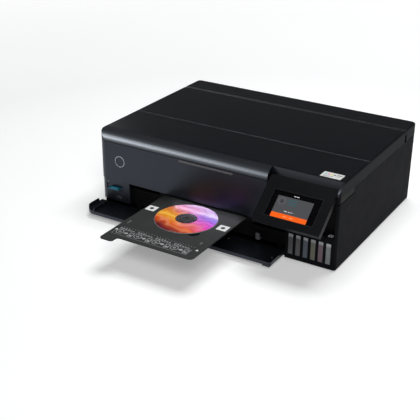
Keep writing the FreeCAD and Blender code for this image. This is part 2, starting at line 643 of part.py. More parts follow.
def screen_block(grow, y0, depth):
    x0 = PANEL_LEFT + SCREEN_INSET
    z1 = PANEL_STOWED_TOP - SCREEN_DROP
    return box(x0 - grow, x0 + SCREEN_WIDTH + grow, y0, y0 + depth, z1 - SCREEN_HEIGHT - grow, z1 + grow)


SCREEN_DEPTH = 1.6


def panel_housing():
    x0, x1 = PANEL_LEFT, PANEL_LEFT + PANEL_WIDTH
    z0, z1 = PANEL_STOWED_TOP - PANEL_HEIGHT, PANEL_STOWED_TOP
    slab = box(x0, x1, FRONT, FRONT + PANEL_THICKNESS, z0, z1)
    upright = [e for e in slab.Edges if e.BoundBox.YLength > PANEL_THICKNESS / 2
               and e.CenterOfMass.z > z1 - 1]
    slab = slab.makeFillet(PANEL_CORNER, upright)
    rim = [e for e in slab.Edges if e.BoundBox.YMax < FRONT + 0.01]
    slab = slab.makeFillet(0.8, rim)
    back = box(x0 + 6, x1 - 6, FRONT + 5, FRONT + PANEL_THICKNESS + 1, z0 + 6, z0 + 40)
    ribs = [box(x, x + 2, FRONT + 4, FRONT + PANEL_THICKNESS, z0 + 5, z0 + 41)
            for x in range(int(x0) + 26, int(x1) - 10, 26)]
    bores = [rod_x(x, x + 6, PANEL_PIVOT_Y, PANEL_PIVOT_Z, PANEL_PIN_R + RUN_FIT)
             for x in (x0 - 0.5, x1 - 5.5)]
    slab = cut(fuse(cut(slab, back), ribs), bores, screen_block(0, FRONT - 1, SCREEN_DEPTH + 1))
    return turned(slab, PANEL_PIVOT_Y, PANEL_PIVOT_Z, PANEL_TILT)


def touch_screen():
    return turned(screen_block(0, FRONT, SCREEN_DEPTH), PANEL_PIVOT_Y, PANEL_PIVOT_Z, PANEL_TILT)


# ---------------------------------------------------------------- ink tanks
TANK_FRONT_RIGHT = POST_X - GAP
TANK_INSIDE_TOP = 58.0
TANK_COVER_PIVOT_Y = FRONT + TANK_DEPTH - 2.5
TANK_COVER_PIVOT_Z = TANK_TOP + 3.4


def tank_xs():
    return [WINDOW_FIRST_X + WINDOW_PITCH * i for i in range(TANK_COUNT)]


def tank_housing():
    x0, x1 = TANK_LEFT, TANK_FRONT_RIGHT
    y0, y1 = FRONT, FRONT + TANK_DEPTH
    block = box(x0, x1, y0, y1, BASE_BOTTOM, TANK_TOP)
    inside = box(x0 + WALL, x1 - WALL, y0 + WALL, y1 - WALL, BASE_TOP, TANK_INSIDE_TOP + 0.5)
    top = box(x0 + WALL, x1 - WALL, POCKET_BACK + WALL, y1 - WALL, TANK_INSIDE_TOP, TANK_TOP + 1)
    windows = [box(x - WINDOW_WIDTH / 2, x + WINDOW_WIDTH / 2, y0 - 1, y0 + WALL + 1,
                   WINDOW_BOTTOM, WINDOW_TOP) for x in tank_xs()]
    groove = box(x0 + 2, x1 - 2, y0 - 1, y0 + 0.6, TANK_TOP - 4.4, TANK_TOP - 3.6)
    ears = []
    for x in (x0 + 3, x1 - 7):
        ears.append(box(x, x + 4, TANK_COVER_PIVOT_Y - 2.5, y1, TANK_TOP - 1, TANK_COVER_PIVOT_Z + 2.5))
    pins = [rod_x(x0 + 6, x0 + 12, TANK_COVER_PIVOT_Y, TANK_COVER_PIVOT_Z, SMALL_PIN_R),
            rod_x(x1 - 12, x1 - 6, TANK_COVER_PIVOT_Y, TANK_COVER_PIVOT_Z, SMALL_PIN_R)]
    return fuse(cut(block, inside, top, windows, groove), ears, pins)


def ink_tanks():
    half = WINDOW_PITCH / 2 - 1
    tanks = []
    for x in tank_xs():
        tank = box(x - half, x + half, FRONT + WALL, FRONT + TANK_DEPTH - WALL, BASE_TOP, TANK_INSIDE_TOP)
        tanks.append(fuse(tank, box(x - WINDOW_WIDTH / 2, x + WINDOW_WIDTH / 2, FRONT + 1.6,
                                    FRONT + WALL + 0.5, WINDOW_BOTTOM, WINDOW_TOP)))
    return Part.makeCompound(tanks)


def tank_caps():
    y = (POCKET_BACK + FRONT + TANK_DEPTH) / 2
    caps = []
    for x in tank_xs():
        caps.append(fuse(rod_z(TANK_INSIDE_TOP, TANK_TOP - 1, x, y, 5.5),
                         box(x - 2, x + 2, y + 3, y + 13, TANK_INSIDE_TOP, TANK_INSIDE_TOP + 2)))
    return Part.makeCompound(caps)


def tank_cover():
    x0, x1 = TANK_LEFT + 7.6, TANK_FRONT_RIGHT - 7.6
    z0 = TANK_TOP + GAP
    plate = box(x0, x1, POCKET_BACK + WALL + GAP, TANK_COVER_PIVOT_Y, z0, z0 + 2.4)
    tab = box((x0 + x1) / 2 - 12, (x0 + x1) / 2 + 12, POCKET_BACK + WALL + GAP,
              POCKET_BACK + WALL + 4, z0, z0 + 5)
    barrel = rod_x(x0, x1, TANK_COVER_PIVOT_Y, TANK_COVER_PIVOT_Z, 2.6)
    bore = rod_x(x0 - 1, x1 + 1, TANK_COVER_PIVOT_Y, TANK_COVER_PIVOT_Z, SMALL_PIN_R + RUN_FIT)
    return cut(fuse(plate, tab, barrel), bore)


# ---------------------------------------------------------------- print mechanism
PLATE = 3.0
CHASSIS_TOP = SCANNER_BOTTOM - 3.5
CHASSIS_Y0, CHASSIS_Y1 = -100.0, REAR - 9.5
SHAFT_R = 3.0
PINCH_SHAFT_R = 2.0
FEED_Z = PATH_Z - FEED_R
EXIT_Z = PATH_Z - EXIT_R
PINCH_Z = TRAY_TOP + GAP + PINCH_R
FRONT_RAIL = (-70.0, -60.0, CARRIAGE_TOP - 8, CARRIAGE_TOP - 4)    # y0, y1, z0, z1
POST_TOP = LID_PIVOT_Z
KNUCKLE_R = 3.9
HINGE_PIN_R = 2.5
PINION_Z = FEED_Z + GEAR_MODULE * (PINION_TEETH + GEAR_TEETH) / 2
DECK_Y = 75.0


def chassis_frame():
    ends = [box(END_LEFT, END_LEFT + PLATE, CHASSIS_Y0, CHASSIS_Y1, BASE_TOP, CHASSIS_TOP),
            box(END_RIGHT - PLATE, END_RIGHT, CHASSIS_Y0, CHASSIS_Y1, BASE_TOP, CHASSIS_TOP)]
    deck = box(END_LEFT + 1, END_RIGHT - 1, DECK_Y, CHASSIS_Y1, DECK_Z, DECK_Z + 2)
    y0, y1, z0, z1 = FRONT_RAIL
    rail = box(END_LEFT + 1, END_RIGHT - 1, y0, y1, z0, z1)
    bar = box(END_LEFT + 1, END_RIGHT - 1, FEED_Y + 29, FEED_Y + 33, PINCH_Z + 1, PINCH_Z + 9)
    arms = [box(x, x + 4, FEED_Y - 4, FEED_Y + 30, PINCH_Z - 3, PINCH_Z + 3)
            for x in (CASSETTE_LEFT - 8, CASSETTE_RIGHT + 4)]
    motor_shelf = box(PULLEY_X - 18, END_RIGHT - 1, BELT_Y - 16, DECK_Y + 1, 57, 59.6)
    post = box(PULLEY_X - 18, PULLEY_X - 12, DECK_Y - 2, DECK_Y + 1, DECK_Z, 59)
    idler_z = BELT_Z - 4.4
    idler = fuse(box(END_LEFT + 1, -PULLEY_X + 8, BELT_Y - 8, BELT_Y + 8, idler_z, idler_z + 2),
                 rod_z(idler_z + 1, BELT_Z + 10, -PULLEY_X, BELT_Y, SMALL_PIN_R))
    bores = [rod_x(END_LEFT - 1, END_RIGHT + 1, FEED_Y, FEED_Z, SHAFT_R + RUN_FIT),
             rod_x(END_LEFT - 1, END_RIGHT + 1, EXIT_Y, EXIT_Z, SHAFT_R + RUN_FIT),
             rod_x(END_LEFT - 1, END_RIGHT + 1, FEED_Y, PINCH_Z, PINCH_SHAFT_R + RUN_FIT)]
    posts = []
    for x0 in (END_LEFT, END_RIGHT - PLATE):
        posts.append(box(x0, x0 + PLATE, LID_PIVOT_Y - KNUCKLE_R, LID_PIVOT_Y, CHASSIS_TOP - 1, POST_TOP))
        posts.append(rod_x(x0, x0 + PLATE, LID_PIVOT_Y, LID_PIVOT_Z, KNUCKLE_R))
    pin = 12.0
    pins = [rod_x(END_LEFT + 1, END_LEFT + pin, LID_PIVOT_Y, LID_PIVOT_Z, HINGE_PIN_R),
            rod_x(END_RIGHT - pin, END_RIGHT - 1, LID_PIVOT_Y, LID_PIVOT_Z, HINGE_PIN_R)]
    windows = [box(END_LEFT - 1, END_RIGHT + 1, y, y + 34, 12, 38)
               for y in (CHASSIS_Y0 + 10, CHASSIS_Y1 - 80, CHASSIS_Y1 - 40)]
    frame = fuse(cut(fuse(ends), windows), deck, rail, bar, arms, motor_shelf, post)
    return fuse(cut(frame, bores), idler, posts, pins)


def carriage_rail():
    return rod_x(END_LEFT + PLATE, END_RIGHT - PLATE, RAIL_Y, RAIL_Z, RAIL_R)


ENCODER_Y = 40.0


def encoder_strip():
    return box(END_LEFT + PLATE, END_RIGHT - PLATE, ENCODER_Y, ENCODER_Y + 0.4,
               CARRIAGE_TOP - 12, CARRIAGE_TOP - 6)


def print_carriage():
    x0, x1 = CARRIAGE_HOME_X - CARRIAGE_WIDTH / 2, CARRIAGE_HOME_X + CARRIAGE_WIDTH / 2
    y0, y1 = PRINT_Y - CARRIAGE_DEPTH / 2, PRINT_Y + CARRIAGE_DEPTH / 2
    body = profile_x([(y0, CARRIAGE_BOTTOM), (y1, CARRIAGE_BOTTOM), (y1, CARRIAGE_TOP - 6),
                      (y1 - 14, CARRIAGE_TOP), (y0 + 20, CARRIAGE_TOP), (y0, CARRIAGE_TOP - 14)], x0, x1)
    fy0, fy1, _, fz1 = FRONT_RAIL
    foot = box(x0 + 14, x1 - 14, fy0 - 1, y0 + 22, fz1 + GAP, CARRIAGE_TOP)
    clamp = box(CARRIAGE_HOME_X - 6, CARRIAGE_HOME_X + 6, y1 - 1,
                BELT_Y - PULLEY_R - BELT_THICKNESS - GAP, BELT_Z - 1, BELT_Z + BELT_WIDTH + 1)
    dampers = [rod_z(CARRIAGE_TOP - 1, CARRIAGE_TOP + 4, x0 + 12 + 12.8 * i, PRINT_Y + 4, 4.2)
               for i in range(TANK_COUNT)]
    bore = rod_x(x0 - 1, x1 + 1, RAIL_Y, RAIL_Z, RAIL_R + RUN_FIT)
    relief = rod_x(x0 + 12, x1 - 12, RAIL_Y, RAIL_Z, RAIL_R + 1)
    hollow = box(x0 + 3, x1 - 3, y0 + 3, PRINT_Y + 14, CARRIAGE_BOTTOM + 8, CARRIAGE_TOP - 24)
    return cut(fuse(body, foot, clamp, dampers), bore, relief, hollow)


def print_head():
    return box(CARRIAGE_HOME_X - 30, CARRIAGE_HOME_X + 30, PRINT_Y - 22, PRINT_Y + 22,
               CARRIAGE_BOTTOM - HEAD_DROP, CARRIAGE_BOTTOM)


def belt_loop(r, z0, z1):
    return fuse(box(-PULLEY_X, PULLEY_X, BELT_Y - r, BELT_Y + r, z0, z1),
                rod_z(z0, z1, -PULLEY_X, BELT_Y, r), rod_z(z0, z1, PULLEY_X, BELT_Y, r))


def timing_belt():
    z0, z1 = BELT_Z, BELT_Z + BELT_WIDTH
    return cut(belt_loop(PULLEY_R + BELT_THICKNESS, z0, z1), belt_loop(PULLEY_R, z0 - 1, z1 + 1))


def pulley(x):
    flange = PULLEY_R + 2.5
    z0, z1 = BELT_Z - GAP, BELT_Z + BELT_WIDTH + GAP
    wheel = fuse(rod_z(z0, z1, x, BELT_Y, PULLEY_R - RUN_FIT), rod_z(z0 - 1.4, z0, x, BELT_Y, flange),
                 rod_z(z1, z1 + 1.4, x, BELT_Y, flange))
    return cut(wheel, rod_z(z0 - 2, z1 + 2, x, BELT_Y, SMALL_PIN_R + RUN_FIT))


def carriage_motor():
    return fuse(rod_z(59.6, BELT_Z - 6, PULLEY_X, BELT_Y, 14), rod_z(BELT_Z - 7, BELT_Z + 10,
                PULLEY_X, BELT_Y, SMALL_PIN_R))


def platen():
    y0, y1 = PRINT_Y - 30, PRINT_Y + 30
    bed = box(END_LEFT + PLATE, CASSETTE_RIGHT, y0, y1, PATH_Z - 4, PATH_Z - 1)
    ribs = [box(x, x + 1.6, y0, y1, PATH_Z - 2, PATH_Z - 0.3) for x in range(-180, 150, 22)]
    return fuse(bed, ribs)


def feed_roller():
    parts = [rod_x(CASSETTE_LEFT, CASSETTE_RIGHT, FEED_Y, FEED_Z, FEED_R),
             rod_x(END_LEFT, END_RIGHT, FEED_Y, FEED_Z, SHAFT_R)]
    return fuse(parts)


def exit_roller():
    parts = [rod_x(END_LEFT, END_RIGHT, EXIT_Y, EXIT_Z, SHAFT_R)]
    parts += [rod_x(x, x + 16, EXIT_Y, EXIT_Z, EXIT_R) for x in range(-170, 140, 44)]
    return fuse(parts)


def pinch_roller():
    x0, x1 = CASSETTE_LEFT - 8, CASSETTE_RIGHT + 8
    parts = [rod_x(x0, x1, FEED_Y, PINCH_Z, PINCH_SHAFT_R)]
    parts += [rod_x(x, x + 24, FEED_Y, PINCH_Z, PINCH_R) for x in range(-160, 130, 52)]
    return fuse(parts)


BACKLASH = 0.16


def gear(teeth, x, y, z, phase, bore):
    """Spur gear on an axis along X, with involute flanks."""
    pitch_r = GEAR_MODULE * teeth / 2
    base_r = pitch_r * math.cos(math.radians(20))
    tip_r = pitch_r + GEAR_MODULE * 0.9
    root_r = pitch_r - GEAR_MODULE * 1.2
    half = math.pi / (2 * teeth) - BACKLASH / (2 * pitch_r)

    def involute(r):
        a = math.acos(min(1.0, base_r / r))
        return math.tan(a) - a

    radii = [max(base_r, root_r + 0.1), pitch_r, tip_r]
    flank = [(r, half + involute(pitch_r) - involute(r)) for r in radii]
    outline = []
    for k in range(teeth):
        middle = phase + 2 * math.pi * k / teeth
        outline.append((root_r, middle - flank[0][1]))
        outline += [(r, middle - a) for r, a in flank]
        outline += [(r, middle + a) for r, a in reversed(flank)]
        outline.append((root_r, middle + flank[0][1]))
    points = [(y + r * math.cos(a), z + r * math.sin(a)) for r, a in outline]
    return cut(profile_x(points, x, x + GEAR_WIDTH), rod_x(x - 1, x + GEAR_WIDTH + 1, y, z, bore))


GEAR_X = END_LEFT + PLATE + 1.5


def feed_gear():
    # A tooth space faces up, where the pinion's tooth points down.
    phase = math.pi / 2 + math.pi / GEAR_TEETH
    return gear(GEAR_TEETH, GEAR_X, FEED_Y, FEED_Z, phase, SHAFT_R)


def motor_pinion():
    return gear(PINION_TEETH, GEAR_X, FEED_Y, PINION_Z, -math.pi / 2, SMALL_PIN_R + RUN_FIT)


def feed_motor():
    x0 = GEAR_X + GEAR_WIDTH + 1
    can = rod_x(x0, x0 + 28, FEED_Y, PINION_Z, 10.5)
    shaft = rod_x(END_LEFT + PLATE, x0 + 1, FEED_Y, PINION_Z, SMALL_PIN_R)
    return fuse(can, shaft)


def ink_tubes():
    y0, y1 = FRONT + TANK_DEPTH, FRONT_RAIL[0] - 16
    z0, z1 = DECK_Z - 2, CARRIAGE_TOP - 6
    r = 1.4
    tubes = []
    for i in range(TANK_COUNT):
        x = RIGHT - 71.5 + 4.5 * i
        run = [rod_y(y0, y1, x, z0, r), rod_z(z0, z1, x, y1, r), rod_y(y1, FRONT_RAIL[0], x, z1, r)]
        run += [Part.makeSphere(r, V(x, y1, z)) for z in (z0, z1)]
        tubes.append(fuse(run))
    return Part.makeCompound(tubes)


def maintenance_box():
    x0, x1 = RIGHT - 93.5, RIGHT - 21.5
    tub = box(x0, x1, -98, -16, BASE_TOP, 44)
    cap = box(x0 + 6, x1 - 6, PRINT_Y - 4, PRINT_Y + 38, BASE_TOP, CARRIAGE_BOTTOM - HEAD_DROP - 1)
    well = box(x0 + 10, x1 - 10, PRINT_Y + 2, PRINT_Y + 32, CARRIAGE_BOTTOM - HEAD_DROP - 4, CARRIAGE_TOP)
    return cut(fuse(tub, box(x0 + 6, x1 - 6, -20, PRINT_Y, BASE_TOP, 40), cap), well)


def power_supply():
    return box(LEFT + 15.5, LEFT + 111.5, DECK_Y + 25, CHASSIS_Y1, DECK_Z + 2, RAMP_FOOT[1] - 10)


def main_board():
    z = DECK_Z + 2
    x0, x1, y0 = RIGHT - 171.5, RIGHT - 61.5, DECK_Y + 21
    board = box(x0, x1, y0, CHASSIS_Y1, z + 4, z + 5.6)
    posts = [rod_z(z, z + 5, x, y, 2.5) for x in (x0 + 6, x1 - 6) for y in (y0 + 6, CHASSIS_Y1 - 8)]
    chips = [box(x0 + 20, x0 + 46, y0 + 24, y0 + 50, z + 5, z + 8),
             box(x0 + 60, x0 + 80, y0 + 22, y0 + 34, z + 5, z + 7.5)]
    return fuse(board, posts, chips)


def power_inlet():
    x0, x1, z0, z1 = INLET
    block = box(x0, x1, CHASSIS_Y1, REAR - 0.6, z0, z1)
    cx, cz = (x0 + x1) / 2, (z0 + z1) / 2
    well = fuse(rod_y(REAR - 8, REAR + 1, cx - 4.3, cz, 4.2), rod_y(REAR - 8, REAR + 1, cx + 4.3, cz, 4.2),
                box(cx - 4.3, cx + 4.3, REAR - 8, REAR + 1, cz - 4.2, cz + 4.2))
    pins = [rod_y(REAR - 9, REAR - 2, cx + s * 4.3, cz, 1.2) for s in (-1, 1)]
    return fuse(cut(block, well), pins)


def rear_ports():
    x0, x1, z0, z1 = PORTS
    block = box(x0, x1, CHASSIS_Y1, REAR - 0.6, z0, z1)
    network = box(x0 + 5, x0 + 17, REAR - 8, REAR + 1, z0 + 4, z0 + 13)
    computer = box(x1 - 15, x1 - 5, REAR - 8, REAR + 1, z0 + 3, z0 + 14)
    tongue = box(x1 - 12.5, x1 - 7.5, REAR - 9, REAR - 2, z0 + 7, z0 + 10)
    return fuse(cut(block, network, computer), tongue)


# ---------------------------------------------------------------- scanner unit
SCANNER_GAP = 2.9    # room for the front edge to swing forward as the unit lifts
LIFT_GAP = 1.2
GLASS_X0 = LEFT + 104
GLASS_Y0 = FRONT + 26
GLASS_RIM = 7.0
SCAN_ROD_R = 3.0
SCAN_ROD_Z = SCANNER_BOTTOM + 7.0
SCAN_BAR_WIDTH = 18.0
SCANNER_TOP = LID_BOTTOM - GAP
HINGE_LUG = 4.5


def glass_block(grow, z0, z1):
    return box(GLASS_X0 - grow, GLASS_X0 + GLASS_WIDTH + grow, GLASS_Y0 - grow,
               GLASS_Y0 + GLASS_DEPTH + grow, z0, z1)


def scanner_frame():
    bottom, top = SCANNER_BOTTOM, SCANNER_TOP
    inset = WALL + SCANNER_GAP
    y1 = REAR_DECK_Y - 1.5
    body = plan_block(inset, bottom, top, y1)
    pocket = box(POCKET_LEFT - CHEEK - GAP, RIGHT + 1, FRONT - 1, POCKET_BACK + WALL + SCANNER_GAP,
                 0, HEIGHT)
    corners = [box(x, x + 20, LID_PIVOT_Y - 12, REAR, 0, HEIGHT)
               for x in (LEFT + inset - 1, RIGHT - inset - 19)]
    body = cut(body, pocket, corners, glass_block(0, top - GLASS_THICKNESS, top + 1),
               glass_block(-GLASS_RIM, bottom + WALL, top + 1))
    undersides = [box(x0, x1, GLASS_Y0, GLASS_Y0 + GLASS_DEPTH, bottom - 1, bottom + 10)
                  for x0, x1 in ((LEFT + 20, GLASS_X0 - 10), (GLASS_X0 + GLASS_WIDTH + 10, RIGHT - 20))]
    body = cut(body, undersides)
    skirt_z = CASE_TOP + SEAM
    rim = cut(shell_ring(skirt_z, top), box(LEFT - 1, RIGHT + 1, LID_PIVOT_Y - 1, REAR + 1, 0, HEIGHT),
              box(LEFT - 1, POST_X, FRONT - 1, SIDE_FRONT, 0, HEIGHT))
    flange = cut(plan_block(WALL - 0.2, skirt_z, top, LID_PIVOT_Y - 12),
                 plan_block(inset + 1, 0, HEIGHT, LID_PIVOT_Y - 12 + 1), pocket,
                 box(LEFT - 1, RIGHT + 1, FRONT - 1, FRONT + inset + 1, 0, HEIGHT),
                 box(LEFT - 1, LEFT + CORNER_LEFT, FRONT - 1, SIDE_FRONT, 0, HEIGHT))
    ears = []
    for side in (-1, 1):
        inner = LEFT - 1 if side < 0 else POST_X
        outer = LEFT + WALL - GAP if side < 0 else RIGHT + 1
        y0 = SIDE_FRONT + LIFT_GAP if side < 0 else FRONT - 1
        ear = shell_ring(EAR_BOTTOM, top, 0).common(box(inner, outer, y0, EAR_REAR - GAP, 0, HEIGHT))
        if side > 0:
            ear = cut(ear, box(RIGHT - 40, RIGHT - WALL + GAP, FRONT + WALL - GAP, REAR, 0, skirt_z))
        ears.append(ear)
    lugs = []
    for side in (-1, 1):
        for near in (END_RIGHT - 16, END_RIGHT - 32):
            x0, x1 = sorted((side * near, side * (near + HINGE_LUG)))
            lugs.append(box(x0, x1, LID_PIVOT_Y - KNUCKLE_R, LID_PIVOT_Y, top - 1, LID_PIVOT_Z))
            lugs.append(rod_x(x0, x1, LID_PIVOT_Y, LID_PIVOT_Z, KNUCKLE_R))
        x0, x1 = sorted((side * (END_RIGHT - 28), side * (END_RIGHT - 20)))
        lugs.append(rod_x(x0, x1, LID_PIVOT_Y, LID_PIVOT_Z, HINGE_PIN_R))
    bores = []
    for side in (-1, 1):
        x0, x1 = sorted((side * (END_RIGHT - 18), side * END_RIGHT))
        bores.append(rod_x(x0, x1, LID_PIVOT_Y, LID_PIVOT_Z, HINGE_PIN_R + RUN_FIT))
    return fuse(cut(fuse(body, rim, flange, ears, lugs), bores), scan_rod())


def scanner_glass():
    return glass_block(0, SCANNER_TOP - GLASS_THICKNESS, SCANNER_TOP)


def scan_rod_y():
    return GLASS_Y0 + GLASS_DEPTH / 2


def scan_rod():
    return rod_x(GLASS_X0 + GLASS_RIM, GLASS_X0 + GLASS_WIDTH - GLASS_RIM, scan_rod_y(),
                 SCAN_ROD_Z, SCAN_ROD_R)


def scan_carriage():
    x0 = GLASS_X0 + GLASS_RIM + 1
    z1 = SCANNER_TOP - GLASS_THICKNESS - GAP
    bar = box(x0, x0 + SCAN_BAR_WIDTH, GLASS_Y0 + GLASS_RIM + 1, GLASS_Y0 + GLASS_DEPTH - GLASS_RIM - 1,
              SCANNER_BOTTOM + WALL + GAP, z1)
    lens = box(x0 + 8, x0 + 10, GLASS_Y0 + GLASS_RIM + 4, GLASS_Y0 + GLASS_DEPTH - GLASS_RIM - 4,
               z1 - 0.6, z1 + 1)
    bore = rod_x(x0 - 1, x0 + SCAN_BAR_WIDTH + 1, scan_rod_y(), SCAN_ROD_Z, SCAN_ROD_R + RUN_FIT)
    return cut(bar, bore, lens)


# ---------------------------------------------------------------- document cover
LINER_Z = LID_BOTTOM + 4.5
COVER_POCKET_INSET = 8.0
COVER_POCKET_TOP = HEIGHT - 4.5
COVER_LINE_Y = -58.4
LABEL = (RIGHT - 52.5, RIGHT - 13.0, FRONT + 25.5, FRONT + 48.5)   # x0, x1, y0, y1 of its recess
LABEL_DEPTH = 0.4


def lid_outline():
    """Side view of the cover, drawn out along X: rounded front, crowned top and hinge barrel."""
    x, foot = LEFT - 1, LID_BOTTOM + LID_LIP
    rise = math.sin(math.radians(LID_CROWN_ANGLE))
    crown_r = (HEIGHT - foot - LID_FRONT_R * rise) / (1 - rise)
    crown_y = FRONT + LID_FRONT_R + (crown_r - LID_FRONT_R) * math.cos(math.radians(LID_CROWN_ANGLE))

    def on_arc(y, z, r, degrees):
        angle = math.radians(degrees)
        return V(x, y - r * math.cos(angle), z + r * math.sin(angle))

    def arc(y, z, r, start, end):
        return Part.Arc(*[on_arc(y, z, r, a) for a in (start, (start + end) / 2, end)]).toShape()

    def line(*ends):
        return Part.makeLine(*[V(x, y, z) for y, z in ends])

    back = LID_PIVOT_Y
    return Part.Face(Part.Wire([
        line((FRONT, LID_BOTTOM), (FRONT, foot)),
        arc(FRONT + LID_FRONT_R, foot, LID_FRONT_R, 0, LID_CROWN_ANGLE),
        arc(crown_y, HEIGHT - crown_r, crown_r, LID_CROWN_ANGLE, 90),
        line((crown_y, HEIGHT), (back, HEIGHT)),
        arc(back, LID_PIVOT_Z, LID_BARREL_R, 90, 180),
        line((back + LID_BARREL_R, LID_PIVOT_Z), (back, LID_PIVOT_Z)),
        line((back, LID_PIVOT_Z), (back, LID_BOTTOM)),
        line((back, LID_BOTTOM), (FRONT, LID_BOTTOM))])).extrude(V(WIDTH + 2, 0, 0))


def side_rounding():
    """Front view of the cover, drawn out along Y, with its two long upper edges rounded."""
    block = box(LEFT, RIGHT, FRONT - 1, REAR, LID_BOTTOM, HEIGHT)
    rim = [e for e in block.Edges if e.BoundBox.ZMin > HEIGHT - 0.01 and e.BoundBox.YLength > DEPTH / 2]
    return block.makeFillet(LID_SIDE_ROUNDING, rim)


def lid_notch():
    return box(POCKET_LEFT - GAP, POST_X, FRONT - 1, POCKET_BACK, 0, HEIGHT + 1)


def document_cover():
    y1 = LID_PIVOT_Y
    block = plan_block(0, LID_BOTTOM, HEIGHT, y1 + LID_BARREL_R).common(lid_outline())
    top = block.common(side_rounding())
    inner = COVER_POCKET_INSET
    z0, z1 = LID_BOTTOM - 1, COVER_POCKET_TOP
    hollow = [box(LEFT + inner, RIGHT - inner, POCKET_BACK + 6, y1 + 1, z0, z1),
              box(LEFT + 14, POCKET_LEFT - 4, FRONT + 18, POCKET_BACK + 7, z0, z1)]
    core = rod_x(LEFT + inner, RIGHT - inner, y1, LID_PIVOT_Z, LID_BARREL_R / 2)
    knuckles = []
    bores = []
    for side in (-1, 1):
        x0, x1 = sorted((side * (END_RIGHT - 26.5), side * (END_RIGHT - 21)))
        knuckles.append(box(x0, x1, y1 - KNUCKLE_R, y1, LID_PIVOT_Z, COVER_POCKET_TOP + 1))
        knuckles.append(rod_x(x0, x1, y1, LID_PIVOT_Z, KNUCKLE_R))
        bores.append(rod_x(x0 - 1, x1 + 1, y1, LID_PIVOT_Z, HINGE_PIN_R + RUN_FIT))
    inlay = box(LEFT + 1, RIGHT - 1, COVER_LINE_Y, COVER_LINE_Y + 0.6, HEIGHT - 0.3, HEIGHT + 1)
    x0, x1, y0, y2 = LABEL
    label = box(x0, x1, y0, y2, HEIGHT - LABEL_DEPTH, HEIGHT + 1)
    return cut(fuse(cut(top, hollow, core, lid_notch(), inlay, label), knuckles), bores)


def lid_liner():
    inner = COVER_POCKET_INSET
    return box(LEFT + inner, RIGHT - inner, POCKET_BACK + 6, LID_PIVOT_Y - KNUCKLE_R - 2,
               LINER_Z, LINER_Z + 2)


def document_pad():
    return glass_block(-1, LID_BOTTOM + 0.3, LINER_Z)


# ---------------------------------------------------------------- rear paper feed
REAR_CAP_POCKET = 8.0


def rear_feed_cover():
    y0 = REAR_DECK_Y
    x0, x1 = LEFT, RIGHT
    block = round_upright(box(x0, x1, y0, REAR, CASE_TOP + SEAM, HEIGHT),
                          [(x0, REAR, CORNER_REAR), (x1, REAR, CORNER_REAR)])
    rim = [e for e in block.Edges if e.BoundBox.ZMin > HEIGHT - 0.01 and e.CenterOfMass.y > y0 + 0.01]
    block = block.makeFillet(LID_SIDE_ROUNDING, rim)
    p = REAR_CAP_POCKET
    hollow = box(x0 + p, x1 - p, y0 + 3, REAR - p, 0, COVER_POCKET_TOP)
    notches = []
    bores = []
    for side in (-1, 1):
        a, b = sorted((side * (REAR_POST_X - 0.6), side * (REAR_POST_X + 4.6)))
        notches.append(box(a, b, REAR - p - 1, REAR + 1, 0, COVER_HINGE_Z + 5.5))
        a, b = sorted((side * (REAR_POST_X - 13), side * REAR_POST_X))
        bores.append(rod_x(a, b, COVER_HINGE_Y, COVER_HINGE_Z, SMALL_PIN_R + RUN_FIT))
    return fuse(cut(block, hollow, notches, bores), paper_support())


def paper_support():
    return box(MID_X - 100, MID_X + 100, REAR_DECK_Y + 5, REAR - REAR_CAP_POCKET - 3,
               COVER_POCKET_TOP - 2.5, COVER_POCKET_TOP)


RAMP_TOP = (REAR - WALL, CASE_TOP - 5.0)
RAMP_FOOT = (REAR_DECK_Y + 4, CASE_TOP - 39.0)


def rear_feed_tray():
    (ya, za), (yb, zb) = RAMP_TOP, RAMP_FOOT
    ramp = profile_x([(ya, za), (ya, za - 6), (yb, zb - 5), (yb - 3, zb - 5), (yb - 3, zb + 8),
                      (yb, zb + 8), (yb, zb)], CASSETTE_LEFT - 6, CASSETTE_RIGHT + 6)
    ends = [profile_x([(ya, za + 3), (ya, za - 5), (yb, zb - 4), (yb, zb + 20)], x, x + 2)
            for x in (CASSETTE_LEFT - 6, CASSETTE_RIGHT + 4)]
    return fuse(ramp, ends)


def rear_guide(side):
    """Paper edge guide that slides along the feed ramp."""
    (ya, za), (yb, zb) = RAMP_TOP, RAMP_FOOT
    slope = (za - zb) / (ya - yb)
    y0, y1 = yb + 6, ya - 8
    z0, z1 = zb + slope * (y0 - yb) + GAP, zb + slope * (y1 - yb) + GAP
    x = MID_X + side * (GUIDE_OFFSET + 10)
    fence = profile_x([(y0, z0), (y1, z1), (y1, z1 + 4), (y0 + 8, z1 + 4), (y0, z0 + 14)], x - 1, x + 1)
    foot = profile_x([(y0 + 4, z0 + 4 * slope), (y1 - 4, z1 - 4 * slope), (y1 - 4, z1 - 4 * slope + 2),
                      (y0 + 4, z0 + 4 * slope + 2)], min(x, x + side * 16), max(x, x + side * 16))
    return fuse(fence, foot)


